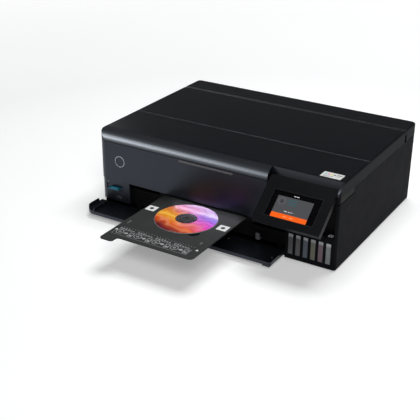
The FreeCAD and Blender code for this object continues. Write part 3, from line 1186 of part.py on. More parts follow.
# ---------------------------------------------------------------- all pieces
NODES = {
    "base_tray": base_tray, "rubber_feet": rubber_feet, "side_left": side_left,
    "side_right": side_right, "rear_panel": rear_panel, "rear_access_cover": rear_access_cover,
    "front_panel": front_panel, "grip_strip": grip_strip, "power_button": power_button,
    "power_ring": power_ring, "card_module": card_module, "usb_port": usb_port,
    "memory_card": memory_card, "front_cover": front_cover,
    "lower_cassette": lower_cassette, "cassette_guide_left": lambda: cassette_guide(-1),
    "cassette_guide_right": lambda: cassette_guide(1), "cassette_lever": cassette_lever,
    "upper_cassette": upper_cassette, "output_tray": output_tray, "disc_tray": disc_tray,
    "label_disc": label_disc, "disc_guide": disc_guide, "panel_pocket": panel_pocket,
    "panel_housing": panel_housing, "touch_screen": touch_screen,
    "tank_housing": tank_housing, "ink_tanks": ink_tanks, "tank_caps": tank_caps,
    "tank_cover": tank_cover, "chassis_frame": chassis_frame, "carriage_rail": carriage_rail,
    "encoder_strip": encoder_strip, "print_carriage": print_carriage, "print_head": print_head,
    "timing_belt": timing_belt, "drive_pulley": lambda: pulley(PULLEY_X),
    "idler_pulley": lambda: pulley(-PULLEY_X), "platen": platen,
    "feed_roller": feed_roller, "exit_roller": exit_roller, "pinch_roller": pinch_roller,
    "feed_gear": feed_gear, "motor_pinion": motor_pinion,
    "drive_motors": lambda: Part.makeCompound([carriage_motor(), feed_motor()]),
    "ink_tubes": ink_tubes, "maintenance_box": maintenance_box, "power_supply": power_supply,
    "main_board": main_board,
    "rear_sockets": lambda: Part.makeCompound([power_inlet(), rear_ports()]),
    "scanner_frame": scanner_frame, "scanner_glass": scanner_glass, "scan_carriage": scan_carriage,
    "document_cover": document_cover, "lid_liner": lid_liner, "document_pad": document_pad,
    "rear_feed_cover": rear_feed_cover, "rear_feed_tray": rear_feed_tray,
    "rear_guide_left": lambda: rear_guide(-1), "rear_guide_right": lambda: rear_guide(1),
}


def main():
    os.makedirs("parts", exist_ok=True)
    for node, make in NODES.items():
        save(node, make())


main()
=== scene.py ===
"""Looks for the disc label printer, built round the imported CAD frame, in metres."""
import math

import bmesh
import bpy
from mathutils import Matrix, Vector


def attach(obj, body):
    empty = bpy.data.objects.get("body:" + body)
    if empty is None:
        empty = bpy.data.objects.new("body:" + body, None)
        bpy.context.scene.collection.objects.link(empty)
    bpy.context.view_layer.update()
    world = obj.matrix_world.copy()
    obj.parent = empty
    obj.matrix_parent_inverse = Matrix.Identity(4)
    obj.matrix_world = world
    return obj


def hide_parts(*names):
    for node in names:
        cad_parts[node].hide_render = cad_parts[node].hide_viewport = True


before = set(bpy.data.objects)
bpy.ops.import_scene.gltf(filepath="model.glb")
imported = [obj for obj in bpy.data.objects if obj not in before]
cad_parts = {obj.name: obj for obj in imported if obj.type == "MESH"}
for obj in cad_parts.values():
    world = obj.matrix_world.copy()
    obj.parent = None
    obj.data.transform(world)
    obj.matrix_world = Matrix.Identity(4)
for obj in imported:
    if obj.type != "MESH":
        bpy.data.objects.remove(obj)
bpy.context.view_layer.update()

MM = 0.001

# ---------------------------------------------------------------- sizes, millimetres
WIDTH, DEPTH, HEIGHT = 523.0, 379.0, 169.0
LEFT, RIGHT, FRONT = -WIDTH / 2, WIDTH / 2, -DEPTH / 2

# Levels and faces of the CAD that prints and small pieces lie on
CARD_TOP, FLAP_TOP, LEDGE_TOP, SCAN_BAR_TOP = 50.55, 15.6, 65.0, 143.7
PAD_FOOT, PAD_THICK, PAD_FILL = 147.85, 4.1, 0.6
MODULE_FACE, WINDOW_FACE, LEVEL_MARK_FACE = FRONT + 1.2, FRONT + 1.55, FRONT + 0.65
SOCKET_FACE, SOCKET_DEPTH = 182.2, 6.6
LABEL_RECESS, GROOVE_FLOOR = HEIGHT - 0.35, HEIGHT - 0.28
COVER_LINE_Y = -58.4

PANEL_LEFT, PANEL_TOP = 121.5, 161.5
PANEL_PIVOT = Vector((0.0, FRONT + 2.2, PANEL_TOP - 14.1))
PANEL_TILT = 51.0
SCREEN_LEFT, SCREEN_TOP = PANEL_LEFT + 19.0, PANEL_TOP - 27.4
SCREEN_WIDTH, SCREEN_HEIGHT = 95.0, 54.0

TRAY_X, TRAY_TOP = -14.7, 61.0
DISC_Y, DISC_R, DISC_HOLE, DISC_TOP, DISC_THICK = -250.8, 60.0, 7.5, 61.3, 1.2
NOTCH_ANGLE, NOTCH_R, NOTCH_FLOOR = -45.0, 12.0, 59.6
TANK_FIRST_X, TANK_PITCH = 171.3, 15.0
WINDOW_WIDTH, WINDOW_FOOT, WINDOW_TOP, WINDOW_GAP, WINDOW_THICK = 10.0, 12.0, 54.0, 0.35, 0.9
INK_LEVEL = 47.5

# Thickness of printed marks, of marks on the screen, of its rim and of marks on small parts
PRINT_THICK, PIXEL_THICK, BEZEL_THICK, MARK_THICK, THIN_MARK = 0.12, 0.05, 0.06, 0.1, 0.08
TURN_STEPS = 96
SHARP_ANGLE, BEVEL_ANGLE = 40, 50       # degrees

# ---------------------------------------------------------------- looks
WHITE = (1.0, 1.0, 1.0)
NOISE_RANGE = (0.3, 0.7)                # where most noise values lie
# Sizes of the noise patterns, in features per metre
DRIFT_SCALE, SMEAR_SCALE, STREAK_SCALE, INK_SCALE, PIXEL_SCALE = 14.0, 45.0, 60.0, 900.0, 400.0
GLASS_SCALE, TANK_SCALE, ART_SCALE, FLOOR_SCALE = 30.0, 160.0, 26.0, 3.0
MOTTLE, WEAR = 0.05, 0.03               # plastic's colour drift, and how much its edges are worn
WORN_GAIN, WORN_LIFT = 1.4, 0.004       # worn plastic is paler
EDGE_POINTINESS = (0.53, 0.62)
GRAIN_DEPTH = 0.12                      # share of the grain's size
BRUSHED = (1.0, 30.0, 30.0)             # metal's streaks run along X
FADED_INK, DIM_PIXEL, FADED_GLASS, FADED_TINT, DARK_STREAK = 0.86, 0.93, 0.9, 0.82, 0.8
GLASS_IOR = 1.45
LID_ROUGH, LID_EDGE_ROUGH = 0.28, 0.48  # flat top, rolled edge
LID_SPECULAR, LID_END_SPECULAR = 0.28, 0.03
LID_TOP_NORMAL, LID_END_NORMAL = (0.72, 0.97), (0.3, 0.8)   # where one turns into the other
PLASTIC_GLOSS, METAL_GLOSS = (-0.02, 0.03), (-0.08, 0.10)   # drift of the roughness
EMPTY_TANK = (0.36, 0.37, 0.39)
INK_WOBBLE = 0.0016                     # the ink level's unevenness, metres
INK_FADE = 2.2                          # millimetres over which ink gives way to bare plastic

# Label art from the bottom of the disc to its top, on its left and on its right
ART_TILT, ART_BEND, RIBBONS = 0.25, 0.9, 17.0
PALE_RIBBON, DARK_RIBBON = (1.0, 0.78, 0.60), (0.30, 0.01, 0.10)
ART_LEFT = ((0.05, (0.10, 0.01, 0.01)), (0.20, (0.80, 0.12, 0.01)), (0.38, (1.00, 0.50, 0.02)),
            (0.58, (0.90, 0.20, 0.04)), (0.74, (0.95, 0.22, 0.50)), (0.92, (1.00, 0.66, 0.92)))
ART_RIGHT = ((0.05, (0.35, 0.02, 0.01)), (0.22, (0.95, 0.16, 0.02)), (0.38, (0.90, 0.04, 0.34)),
             (0.56, (0.80, 0.10, 0.85)), (0.74, (0.30, 0.14, 0.98)), (0.92, (0.80, 0.60, 1.00)))

# ---------------------------------------------------------------- studio, metres and degrees
FLOOR_REACH = 30.0
FLOOR_DARK, FLOOR_PALE = (0.80, 0.80, 0.80), (0.83, 0.83, 0.83)
FLOOR_LIFT = 0.30                       # the floor's own light under the object
FLOOR_FADE = (0.9, 3.0)                 # distances over which that grows to white
WORLD_LEVEL = 0.02
BACKDROP_FULL, BACKDROP_END = 3.0, 10.0     # degrees above the horizon
LID_NODES = ("document_cover", "rear_feed_cover")
COOL, PLAIN = (0.94, 0.97, 1.0), (0.98, 0.99, 1.0)
WARM, SLOT_BLUE = (1.0, 0.98, 0.94), (0.86, 0.84, 1.0)
# Place, target, size, watts and colour of each lamp
EDGE = ((-1.98, -1.93, 1.20), (-0.05, -0.19, 0.16), (1.6, 1.0), 470.0, WARM)
CROWN = ((-1.20, 0.40, 2.20), (-1.20, 0.40, 0.0), (2.2, 2.2), 8.0, COOL)
SHEEN = ((-2.15, 1.36, 0.89), (-0.05, 0.0, 0.17), (1.0, 0.6), 4.5, COOL)
FRONT_LAMP = ((1.30, -2.00, 2.10), (0.0, -0.15, 0.05), (1.2, 1.2), 36.0, WHITE)
OVERHEAD = ((0.10, 0.55, 2.25), (0.0, -0.1, 0.0), (1.3, 1.2), 42.0, PLAIN)
SLOT_LAMP = ((-0.004, -0.192, 0.0765), (-0.004, -0.203, 0.061), (0.150, 0.006), 0.014, SLOT_BLUE)
# The group that a lamp lights (None: everything) and the rays that it is hidden from. "edge" and
# "crown" show only in the lid's gloss, and the lid takes the overhead light without its gloss.
LAMPS = (("edge", EDGE, "lid_group", "diffuse"), ("crown", CROWN, "lid_group", "diffuse"),
         ("sheen", SHEEN, "lid_group", None), ("front", FRONT_LAMP, None, None),
         ("overhead", OVERHEAD, "rest_group", None),
         ("overhead_lid", OVERHEAD, "lid_group", "glossy"), ("slot", SLOT_LAMP, None, "camera"))
CAMERA_PLACE = (0.79686, -1.51090, 0.80746)
CAMERA_YAW, CAMERA_PITCH, CAMERA_ROLL = 31.106, 25.924, 0.468
CAMERA_CLIP = (0.05, 100.0)
LENS, SENSOR = 77.32, 36.0              # millimetres


# ---------------------------------------------------------------- node trees
class Graph:
    """Node tree of a material or the world, with short calls for the nodes that are used here."""

    def __init__(self, tree, shader="BsdfPrincipled", output="OutputMaterial"):
        self.nodes, self.links = tree.nodes, tree.links
        self.nodes.clear()
        out = self.new(output)
        self.shader = self.new(shader)
        self.links.new(self.shader.outputs[0], out.inputs[0])

    def new(self, kind):
        return self.nodes.new("ShaderNode" + kind)

    def feed(self, socket, value):
        """Link a socket to the value, or set it there when that is a plain number or colour."""
        if isinstance(value, bpy.types.NodeSocket):
            self.links.new(value, socket)
        elif isinstance(value, tuple):
            socket.default_value = (*value, 1.0)
        else:
            socket.default_value = value

    def surface(self, **inputs):
        """Set or link the shader's inputs; an underscore in a name stands for a blank."""
        for name, value in inputs.items():
            self.feed(self.shader.inputs[name.replace("_", " ")], value)

    def coords(self, kind="Object"):
        return self.new("TexCoord").outputs[kind]

    def split(self, vector):
        node = self.new("SeparateXYZ")
        self.links.new(vector, node.inputs[0])
        return node.outputs

    def noise(self, where, scale, detail):
        node = self.new("TexNoise")
        node.inputs["Scale"].default_value = scale
        node.inputs["Detail"].default_value = detail
        self.links.new(where, node.inputs["Vector"])
        return node.outputs["Fac"]

    def spread(self, value, low, high, start=NOISE_RANGE[0], end=NOISE_RANGE[1]):
        """Map start..end of the value to low..high."""
        node = self.new("MapRange")
        ends = {"From Min": start, "From Max": end, "To Min": low, "To Max": high}
        for name, number in ends.items():
            node.inputs[name].default_value = number
        self.links.new(value, node.inputs["Value"])
        return node.outputs["Result"]

    def mix(self, factor, first, second):
        node = self.new("Mix")
        node.data_type = "RGBA"
        self.links.new(factor, node.inputs[0])
        self.feed(node.inputs[6], first)
        self.feed(node.inputs[7], second)
        return node.outputs[2]

    def ramp(self, value, stops):
        node = self.new("ValToRGB")
        elements = node.color_ramp.elements
        while len(elements) < len(stops):
            elements.new(0.5)
        for element, (place, colour) in zip(elements, stops):
            element.position = place
            element.color = (*colour, 1.0)
        self.links.new(value, node.inputs["Fac"])
        return node.outputs["Color"]

    def maths(self, operation, *values):
        node = self.new("Math")
        node.operation = operation
        for socket, value in zip(node.inputs, values):
            self.feed(socket, value)
        return node.outputs[0]

    def bump(self, height, strength, distance):
        node = self.new("Bump")
        node.inputs["Strength"].default_value = strength
        node.inputs["Distance"].default_value = distance
        self.links.new(height, node.inputs["Height"])
        self.links.new(node.outputs[0], self.shader.inputs["Normal"])


def new_material(name):
    material = bpy.data.materials.new(name)
    material.use_nodes = True
    return material, Graph(material.node_tree)


def scaled(colour, factor, lift=0.0):
    """Colour made paler or darker by a factor, and lifted by an equal part of white."""
    return tuple(min(1.0, part * factor + lift) for part in colour)


# ---------------------------------------------------------------- kinds of material
def moulded(name, colour, rough=0.45, grain=0.0006, relief=0.25, specular=0.5, sheen=WHITE):
    """Moulded plastic: fine spark-eroded grain, slow colour drift and paler worn edges.

    Gives the material and its node tree."""
    material, graph = new_material(name)
    where = graph.coords()
    drift = graph.spread(graph.noise(where, DRIFT_SCALE, 4.0), 0.0, 1.0)
    tone = graph.mix(drift, scaled(colour, 1 - MOTTLE), scaled(colour, 1 + MOTTLE, 0.001))
    edge = graph.new("NewGeometry").outputs["Pointiness"]
    worn = graph.spread(edge, 0.0, WEAR, *EDGE_POINTINESS)
    tone = graph.mix(worn, tone, scaled(colour, WORN_GAIN, WORN_LIFT))
    smear = graph.noise(where, SMEAR_SCALE, 3.0)
    low, high = (rough + change for change in PLASTIC_GLOSS)
    graph.surface(Base_Color=tone, Roughness=graph.spread(smear, low, high),
                  Specular_IOR_Level=specular, Specular_Tint=sheen)
    if relief:
        graph.bump(graph.noise(where, 1.0 / grain, 2.0), relief, grain * GRAIN_DEPTH)
    return material, graph


def metal(name, colour, rough=0.32):
    """Sheet or turned metal with fine streaks along one direction."""
    material, graph = new_material(name)
    stretch = graph.new("Mapping")
    stretch.inputs["Scale"].default_value = BRUSHED
    graph.links.new(graph.coords(), stretch.inputs["Vector"])
    streak = graph.noise(stretch.outputs[0], STREAK_SCALE, 4.0)
    low, high = (rough + change for change in METAL_GLOSS)
    graph.surface(Base_Color=graph.mix(streak, scaled(colour, DARK_STREAK), colour),
                  Roughness=graph.spread(streak, low, high), Metallic=1.0)
    return material


def printed(name, colour):
    """Screen-printed ink: slightly uneven and a little rough."""
    material, graph = new_material(name)
    patch = graph.noise(graph.coords(), INK_SCALE, 2.0)
    graph.surface(Base_Color=graph.mix(patch, scaled(colour, FADED_INK), colour), Roughness=0.5)
    return material


def glowing(name, colour):
    """Lit pixels of the screen, with a faint pixel pitch."""
    material, graph = new_material(name)
    patch = graph.noise(graph.coords(), PIXEL_SCALE, 1.0)
    graph.surface(Base_Color=(0.01, 0.01, 0.01), Roughness=0.2, Emission_Strength=1.0,
                  Emission_Color=graph.mix(patch, scaled(colour, DIM_PIXEL), colour))
    return material


def clear(name, colour, rough=0.05, transmission=1.0):
    """Glass, film or clear plastic with faint patches."""
    material, graph = new_material(name)
    patch = graph.noise(graph.coords(), GLASS_SCALE, 2.0)
    graph.surface(Base_Color=graph.mix(patch, scaled(colour, FADED_GLASS), colour),
                  Roughness=graph.spread(patch, rough * 0.8, rough * 1.3),
                  Transmission_Weight=transmission, IOR=GLASS_IOR)
    return material


def lid_plastic(name, colour, sheen):
    """Lid plastic: satin top, softer rolled front edge and dull ends."""
    material, graph = moulded(name, colour, LID_ROUGH, 0.0009, 0.10, 0.35, sheen)
    normal = graph.split(graph.coords("Normal"))
    ends = graph.maths("ABSOLUTE", normal[0])
    specular = graph.spread(ends, LID_SPECULAR, LID_END_SPECULAR, *LID_END_NORMAL)
    rough = graph.spread(normal[2], LID_EDGE_ROUGH, LID_ROUGH, *LID_TOP_NORMAL)
    graph.surface(Specular_IOR_Level=specular, Roughness=rough)
    return material


def ink_window(name, tint):
    """Cloudy tank wall: tinted ink below the level, bare pale plastic above."""
    material, graph = new_material(name)
    where = graph.coords()
    cloud = graph.noise(where, TANK_SCALE, 3.0)
    height = graph.maths("ADD", graph.split(where)[2], graph.maths("MULTIPLY", cloud, INK_WOBBLE))
    step = graph.spread(height, 0.0, 1.0, INK_LEVEL * MM, (INK_LEVEL + INK_FADE) * MM)
    full = graph.mix(cloud, scaled(tint, FADED_TINT), tint)
    graph.surface(Base_Color=graph.mix(step, full, EMPTY_TANK), Roughness=0.34, Coat_Weight=0.25)
    graph.bump(cloud, 0.15, 0.0002)
    return material


def disc_artwork():
    """Abstract label art: soft colour fields that run into each other, with faint ribbons."""
    material, graph = new_material("disc_artwork")

    def add(first, second):
        return graph.maths("ADD", first, second)

    def times(first, second):
        return graph.maths("MULTIPLY", first, second)

    where = graph.coords()
    axes = graph.split(where)
    x = times(add(axes[0], -TRAY_X * MM), 1 / (DISC_R * MM))
    y = times(add(axes[1], -DISC_Y * MM), 1 / (DISC_R * MM))
    bend = times(add(graph.noise(where, ART_SCALE, 2.0), -0.5), ART_BEND)
    rise = add(add(y, times(x, ART_TILT)), times(bend, 0.5))
    level = graph.spread(rise, 0.0, 1.0, -1.0, 1.0)
    side = graph.spread(add(x, bend), 0.0, 1.0, -0.45, 0.75)
    tone = graph.mix(side, graph.ramp(level, ART_LEFT), graph.ramp(level, ART_RIGHT))
    wave = graph.maths("SINE", times(add(rise, bend), RIBBONS))
    tone = graph.mix(graph.spread(wave, 0.0, 0.16, 0.3, 1.0), tone, PALE_RIBBON)
    tone = graph.mix(graph.spread(wave, 0.22, 0.0, -1.0, -0.4), tone, DARK_RIBBON)
    graph.surface(Base_Color=tone, Roughness=0.28, Coat_Weight=0.3, Coat_Roughness=0.08)
    return material


def pale_floor():
    """Floor as white as the backdrop to the camera; it keeps the object's shadow."""
    material, graph = new_material("pale_floor")
    where = graph.coords()
    patch = graph.noise(where, FLOOR_SCALE, 2.0)
    path = graph.new("LightPath").outputs
    seen = graph.maths("MAXIMUM", path["Is Camera Ray"], path["Is Glossy Ray"])
    seen = graph.maths("MAXIMUM", seen, path["Is Transmission Ray"])
    reach = graph.new("VectorMath")
    reach.operation = "LENGTH"
    graph.links.new(where, reach.inputs[0])
    lift = graph.spread(reach.outputs["Value"], FLOOR_LIFT, 1.0, *FLOOR_FADE)
    graph.surface(Base_Color=graph.mix(patch, FLOOR_DARK, FLOOR_PALE), Roughness=0.9,
                  Specular_IOR_Level=0.0, Emission_Color=WHITE,
                  Emission_Strength=graph.maths("MULTIPLY", seen, lift))
    return material


# ---------------------------------------------------------------- materials
def plastic(*facts):
    return moulded(*facts)[0]


SHELL = plastic("shell_black_plastic", (0.0060, 0.0063, 0.0080), 0.60, 0.0009, 0.30, 0.03)
TOP = lid_plastic("lid_black_plastic", (0.0055, 0.0060, 0.0078), (0.75, 0.85, 1.0))
FRONT_BLACK = plastic("front_black_plastic", (0.0060, 0.0066, 0.0090), 0.34, 0.0007, 0.0, 0.55,
                      (0.70, 0.80, 1.0))
INNER = plastic("inner_black_plastic", (0.0040, 0.0040, 0.0048), 0.50, 0.0010, 0.30, 0.05)
MECHANISM = plastic("mechanism_dark_plastic", (0.020, 0.020, 0.022), 0.45, 0.0010, 0.25, 0.25)
TRAY = plastic("tray_grey_plastic", (0.036, 0.037, 0.036), 0.45, 0.0008, 0.20, 0.12)
PANEL = plastic("panel_black_plastic", (0.0080, 0.0083, 0.0095), 0.34, 0.0007, 0.12, 0.05)
SCREEN = plastic("screen_black_gloss", (0.002, 0.002, 0.0025), 0.12, 0.001, 0.0, 0.25)
PALE = plastic("pale_grey_plastic", (0.55, 0.56, 0.60), 0.35, 0.0008, 0.1)
# grey plastic of the cassette lever, and the painted highlight of the grip strip
GREY_AND_LIP_GLINT = plastic("mid_grey_plastic", (0.115, 0.118, 0.125), 0.4, 0.0008, 0.15)
CARD = plastic("card_teal_plastic", (0.010, 0.150, 0.240), 0.3, 0.0008, 0.1)
CAPS = plastic("cap_dark_plastic", (0.05, 0.05, 0.055), 0.45)
TANKS = plastic("tank_cloudy_plastic", (0.30, 0.31, 0.33), 0.35, 0.001, 0.2)
RUBBER = plastic("black_rubber", (0.018, 0.018, 0.018), 0.75, 0.0012, 0.5, 0.3)
WHITE_PAD = plastic("white_foam_pad", (0.78, 0.78, 0.76), 0.8, 0.0015, 0.5)
ACETAL = plastic("natural_acetal", (0.66, 0.64, 0.58), 0.4)
BOARD = plastic("circuit_board", (0.010, 0.090, 0.045), 0.4)
DISC_HUB = plastic("disc_hub_grey", (0.042, 0.040, 0.044), 0.25, 0.001, 0.0)
# near-black sheet: painted shade in the tray's finger notch
NOTCH_SHADE = plastic("notch_black", (0.004, 0.004, 0.004), 0.7, 0.001, 0.2, 0.1)
STEEL = metal("zinc_steel", (0.56, 0.57, 0.60))
RAIL_STEEL = metal("ground_steel", (0.62, 0.62, 0.64), 0.18)
DISC_MIRROR = metal("disc_mirror", (0.42, 0.42, 0.44), 0.2)
GOLD = metal("contact_gold", (0.80, 0.56, 0.22), 0.25)
GLASS = clear("platen_glass", (0.93, 0.97, 0.96), 0.03)
FILM = clear("encoder_film", (0.75, 0.75, 0.78), 0.1)
POLYCARBONATE = clear("disc_polycarbonate", (0.55, 0.55, 0.58), 0.08, 0.3)
ARTWORK = disc_artwork()
WHITE_INK = printed("white_print", (0.86, 0.86, 0.86))
STRIP_INK = printed("strip_print", (0.46, 0.46, 0.47))
DIM_INK = printed("grey_print", (0.30, 0.31, 0.32))
BLACK_INK = printed("black_print", (0.012, 0.012, 0.012))
CARD_LABEL = printed("card_label_print", (0.12, 0.60, 0.88))
LABEL_WHITE = printed("label_white", (0.72, 0.73, 0.70))
# painted highlight on the rear lip of the lid's groove
GROOVE_GLINT_GREY = printed("groove_glint_grey", (0.34, 0.36, 0.39))
UI_GREY = glowing("ui_grey", (0.070, 0.072, 0.078))
UI_ORANGE = glowing("ui_orange", (1.0, 0.125, 0.004))
UI_PALE_GREY = glowing("ui_pale_grey", (0.16, 0.15, 0.18))
UI_DARK = glowing("ui_dark", (0.045, 0.042, 0.055))
UI_TEAL = glowing("ui_teal", (0.020, 0.115, 0.140))
UI_WHITE = glowing("ui_white", (0.72, 0.72, 0.74))
UI_PEACH = glowing("ui_peach", (1.0, 0.33, 0.12))

NODE_LOOKS = {
    SHELL: ("side_left", "side_right", "rear_panel", "rear_access_cover", "tank_housing"),
    TOP: ("document_cover", "rear_feed_cover"),
    FRONT_BLACK: ("front_panel", "power_button", "card_module", "front_cover"),
    INNER: ("base_tray", "disc_guide", "panel_pocket", "tank_cover", "upper_cassette",
            "lower_cassette", "output_tray", "cassette_guide_left", "cassette_guide_right",
            "scanner_frame", "rear_sockets"),
    MECHANISM: ("print_carriage", "platen", "maintenance_box", "scan_carriage", "rear_feed_tray",
                "rear_guide_left", "rear_guide_right", "lid_liner", "ink_tubes"),
    TRAY: ("disc_tray",),
    PANEL: ("panel_housing",),
    SCREEN: ("touch_screen",),
    PALE: ("power_ring",),
    # the grip strip's mid grey is a painted highlight on the finger groove's lower lip; the
    # cassette lever is plain grey plastic
    GREY_AND_LIP_GLINT: ("grip_strip", "cassette_lever"),
    CARD: ("memory_card",),
    CAPS: ("tank_caps",),
    TANKS: ("ink_tanks",),
    RUBBER: ("timing_belt", "rubber_feet", "feed_roller", "exit_roller", "pinch_roller"),
    WHITE_PAD: ("document_pad",),
    ACETAL: ("feed_gear", "motor_pinion", "drive_pulley", "idler_pulley"),
    BOARD: ("main_board",),
    STEEL: ("chassis_frame", "drive_motors", "power_supply", "usb_port", "print_head"),
    RAIL_STEEL: ("carriage_rail",),
    GLASS: ("scanner_glass",),
    FILM: ("encoder_strip",),
}
for look, node_names in NODE_LOOKS.items():
    for node_name in node_names:
        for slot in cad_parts[node_name].material_slots:
            slot.material = look


# ---------------------------------------------------------------- drawing planes
def plane(origin, u, v, w):
    """Plane with u and v across it and w out of it, in millimetres."""
    columns = Matrix((Vector(u), Vector(v), Vector(w))).transposed().to_4x4()
    return Matrix.Translation(Vector(origin)) @ columns


def facing_up(z):
    return plane((0, 0, z), (1, 0, 0), (0, 1, 0), (0, 0, 1))


def facing_front(y):
    return plane((0, y, 0), (1, 0, 0), (0, 0, 1), (0, -1, 0))


def facing_back(y):
    return plane((0, y, 0), (-1, 0, 0), (0, 0, 1), (0, 1, 0))


def on_panel(lift=0.0):
    """Plane of the control panel's face at rest, drawn as if the panel hung upright."""
    turn = Matrix.Rotation(-math.radians(PANEL_TILT), 4, "X")
    about_pivot = Matrix.Translation(PANEL_PIVOT) @ turn @ Matrix.Translation(-PANEL_PIVOT)
    return about_pivot @ facing_front(FRONT - lift)


# ---------------------------------------------------------------- outlines; a box is x0, x1, y0, y1
def rounded(x0, x1, y0, y1, r, steps):
    """Box with rounded corners of radius r, each in so many steps."""
    points = []
    right, left, top, foot = x1 - r, x0 + r, y1 - r, y0 + r
    for cx, cy, start in ((right, top, 0), (left, top, 90), (left, foot, 180), (right, foot, 270)):
        for i in range(steps + 1):
            angle = math.radians(start + 90 * i / steps)
            points.append((cx + r * math.cos(angle), cy + r * math.sin(angle)))
    return points


def circle(cx, cy, r, steps):
    return [(cx + r * math.cos(2 * math.pi * i / steps), cy + r * math.sin(2 * math.pi * i / steps))
            for i in range(steps)]


def grown(x0, x1, y0, y1, by):
    return x0 - by, x1 + by, y0 - by, y1 + by


def points_at(x, y, points):
    return [(x + u, y + v) for u, v in points]


def boxes_at(x, y, boxes):
    return [(x + x0, x + x1, y + y0, y + y1) for x0, x1, y0, y1 in boxes]


# ---------------------------------------------------------------- pieces
def finish_piece(name, mesh, look, body, bevel=0.0, smooth=False):
    mesh.normal_update()
    data = bpy.data.meshes.new(name)
    mesh.to_mesh(data)
    mesh.free()
    data.materials.append(look)
    piece = bpy.data.objects.new(name, data)
    bpy.context.scene.collection.objects.link(piece)
    if smooth or bevel:
        data.polygons.foreach_set("use_smooth", [True] * len(data.polygons))
        data.set_sharp_from_angle(angle=math.radians(SHARP_ANGLE))
    if bevel:
        rim = piece.modifiers.new("edge", "BEVEL")
        rim.width = bevel * MM
        rim.segments = 2
        rim.limit_method = "ANGLE"
        rim.angle_limit = math.radians(BEVEL_ANGLE)
        rim.harden_normals = True
    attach(piece, body)
    return piece


def row(mesh, outline, w, matrix):
    """Vertices of an outline that lies at the height w over a drawing plane."""
    return [mesh.verts.new((matrix @ Vector((u, v, w))) * MM) for u, v in outline]


def skin(mesh, first, second):
    """Faces between two rows with the same number of vertices."""
    for i in range(len(first)):
        j = (i + 1) % len(first)
        mesh.faces.new((first[i], first[j], second[j], second[i]))


def raise_outline(mesh, outline, thick, matrix):
    low, high = row(mesh, outline, 0, matrix), row(mesh, outline, thick, matrix)
    mesh.faces.new(high)
    mesh.faces.new(list(reversed(low)))
    skin(mesh, low, high)


def slab(name, outline, thick, matrix, look, body, bevel=0.0):
    """Outline drawn on a plane and raised by its thickness."""
    mesh = bmesh.new()
    raise_outline(mesh, outline, thick, matrix)
    return finish_piece(name, mesh, look, body, bevel)


def bars(name, boxes, thick, matrix, look, body, r=0.0):
    """Several printed bars or dots as one piece."""
    mesh = bmesh.new()
    for x0, x1, y0, y1 in boxes:
        corner = r or min(x1 - x0, y1 - y0) * 0.25
        raise_outline(mesh, rounded(x0, x1, y0, y1, corner, 3), thick, matrix)
    return finish_piece(name, mesh, look, body)


def band(name, outer, inner, thick, matrix, look, body):
    """Frame or ring between two outlines with the same number of points."""
    mesh = bmesh.new()
    rows = [row(mesh, line, w, matrix)
            for line, w in ((outer, 0), (outer, thick), (inner, thick), (inner, 0))]
    for first, second in zip(rows, rows[1:] + rows[:1]):
        skin(mesh, first, second)
    return finish_piece(name, mesh, look, body)


def turning(name, profile, centre, matrix, look, body):
    """Closed profile of (radius, height) points turned about the plane's w axis at a centre."""
    mesh = bmesh.new()
    rows = [row(mesh, circle(*centre, r, TURN_STEPS), w, matrix) for r, w in profile]
    for first, second in zip(rows, rows[1:] + rows[:1]):
        skin(mesh, first, second)
    return finish_piece(name, mesh, look, body, smooth=True)


# ---------------------------------------------------------------- disc
# Name, inner and outer radius, thickness and look of what lies on the disc
DISC_RINGS = (
    ("disc_print", 20.5, 59.0, 0.05, ARTWORK),
    ("disc_mirror_ring", 17.6, 20.5, 0.04, DISC_MIRROR),
    ("disc_hub_dark", 8.6, 17.4, 0.04, DISC_HUB),
    ("disc_stack_ring", 15.6, 16.5, 0.16, DISC_MIRROR),
    ("disc_hub_lip", 7.6, 8.3, 0.12, DISC_MIRROR),
    ("disc_edge_line", 59.1, 59.6, 0.05, BLACK_INK),
)


def make_disc():
    centre, foot, chamfer, edge = (TRAY_X, DISC_Y), DISC_TOP - DISC_THICK, 0.2, 0.25
    profile = [(DISC_HOLE, foot), (DISC_R - chamfer, foot), (DISC_R, foot + chamfer),
               (DISC_R, DISC_TOP - edge), (DISC_R - edge, DISC_TOP),
               (DISC_HOLE + chamfer, DISC_TOP), (DISC_HOLE, DISC_TOP - chamfer)]
    disc = turning("disc_plate", profile, centre, facing_up(0), POLYCARBONATE, "disc")
    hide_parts("label_disc")
    for name, inner, outer, thick, look in DISC_RINGS:
        profile = [(inner, 0), (outer, 0), (outer, thick), (inner, thick)]
        turning(name, profile, centre, facing_up(DISC_TOP), look, "disc")


# ---------------------------------------------------------------- marks on the disc tray
SQUARE_Y, SQUARE_HALF, TARGET_R = DISC_Y + 2.6, 10, 4.2
SQUARES = (("left", -93.7), ("right", 62.9))
ARROWS = (("left", -99.0, -352.0), ("right", 68.0, -345.0))
TRAY_TICKS = [(x, x + 0.8, -339.5, -336.8) for x in range(-92, 64, 6)]
TRAY_ARROW = ((-3, -2.4), (3, -2.4), (0, 3.2))
TRAY_LINES = ((-96.6, -95.6, -324, -313), (-98.4, -93.8, -313.6, -312.6),
              (60.0, 61.0, -324, -317), (57.8, 63.2, -317.6, -316.6))
STRIP_LEFT, STRIP_FOOT, STRIP_PITCH, STRIP_COUNT = -97.0, -367.0, 39.0, 4
STRIP_ARROW = ((-3.6, -1.6), (0, -1.6), (0, -4.2), (5.0, 0), (0, 4.2), (0, 1.6), (-3.6, 1.6))
STRIP_BLOCK = ((0, 8.6, 1, 2), (0, 8.6, 14, 15), (0, 1, 1.5, 14.5), (7.6, 8.6, 1.5, 14.5),
               (2.2, 6.4, 4, 8))
STRIP_CAPTION, STRIP_SMALL_PRINT, CAPTION_PITCH = [(1, 5, 20.6, 22.2)], [(1, 4, 24, 25)], 5.5


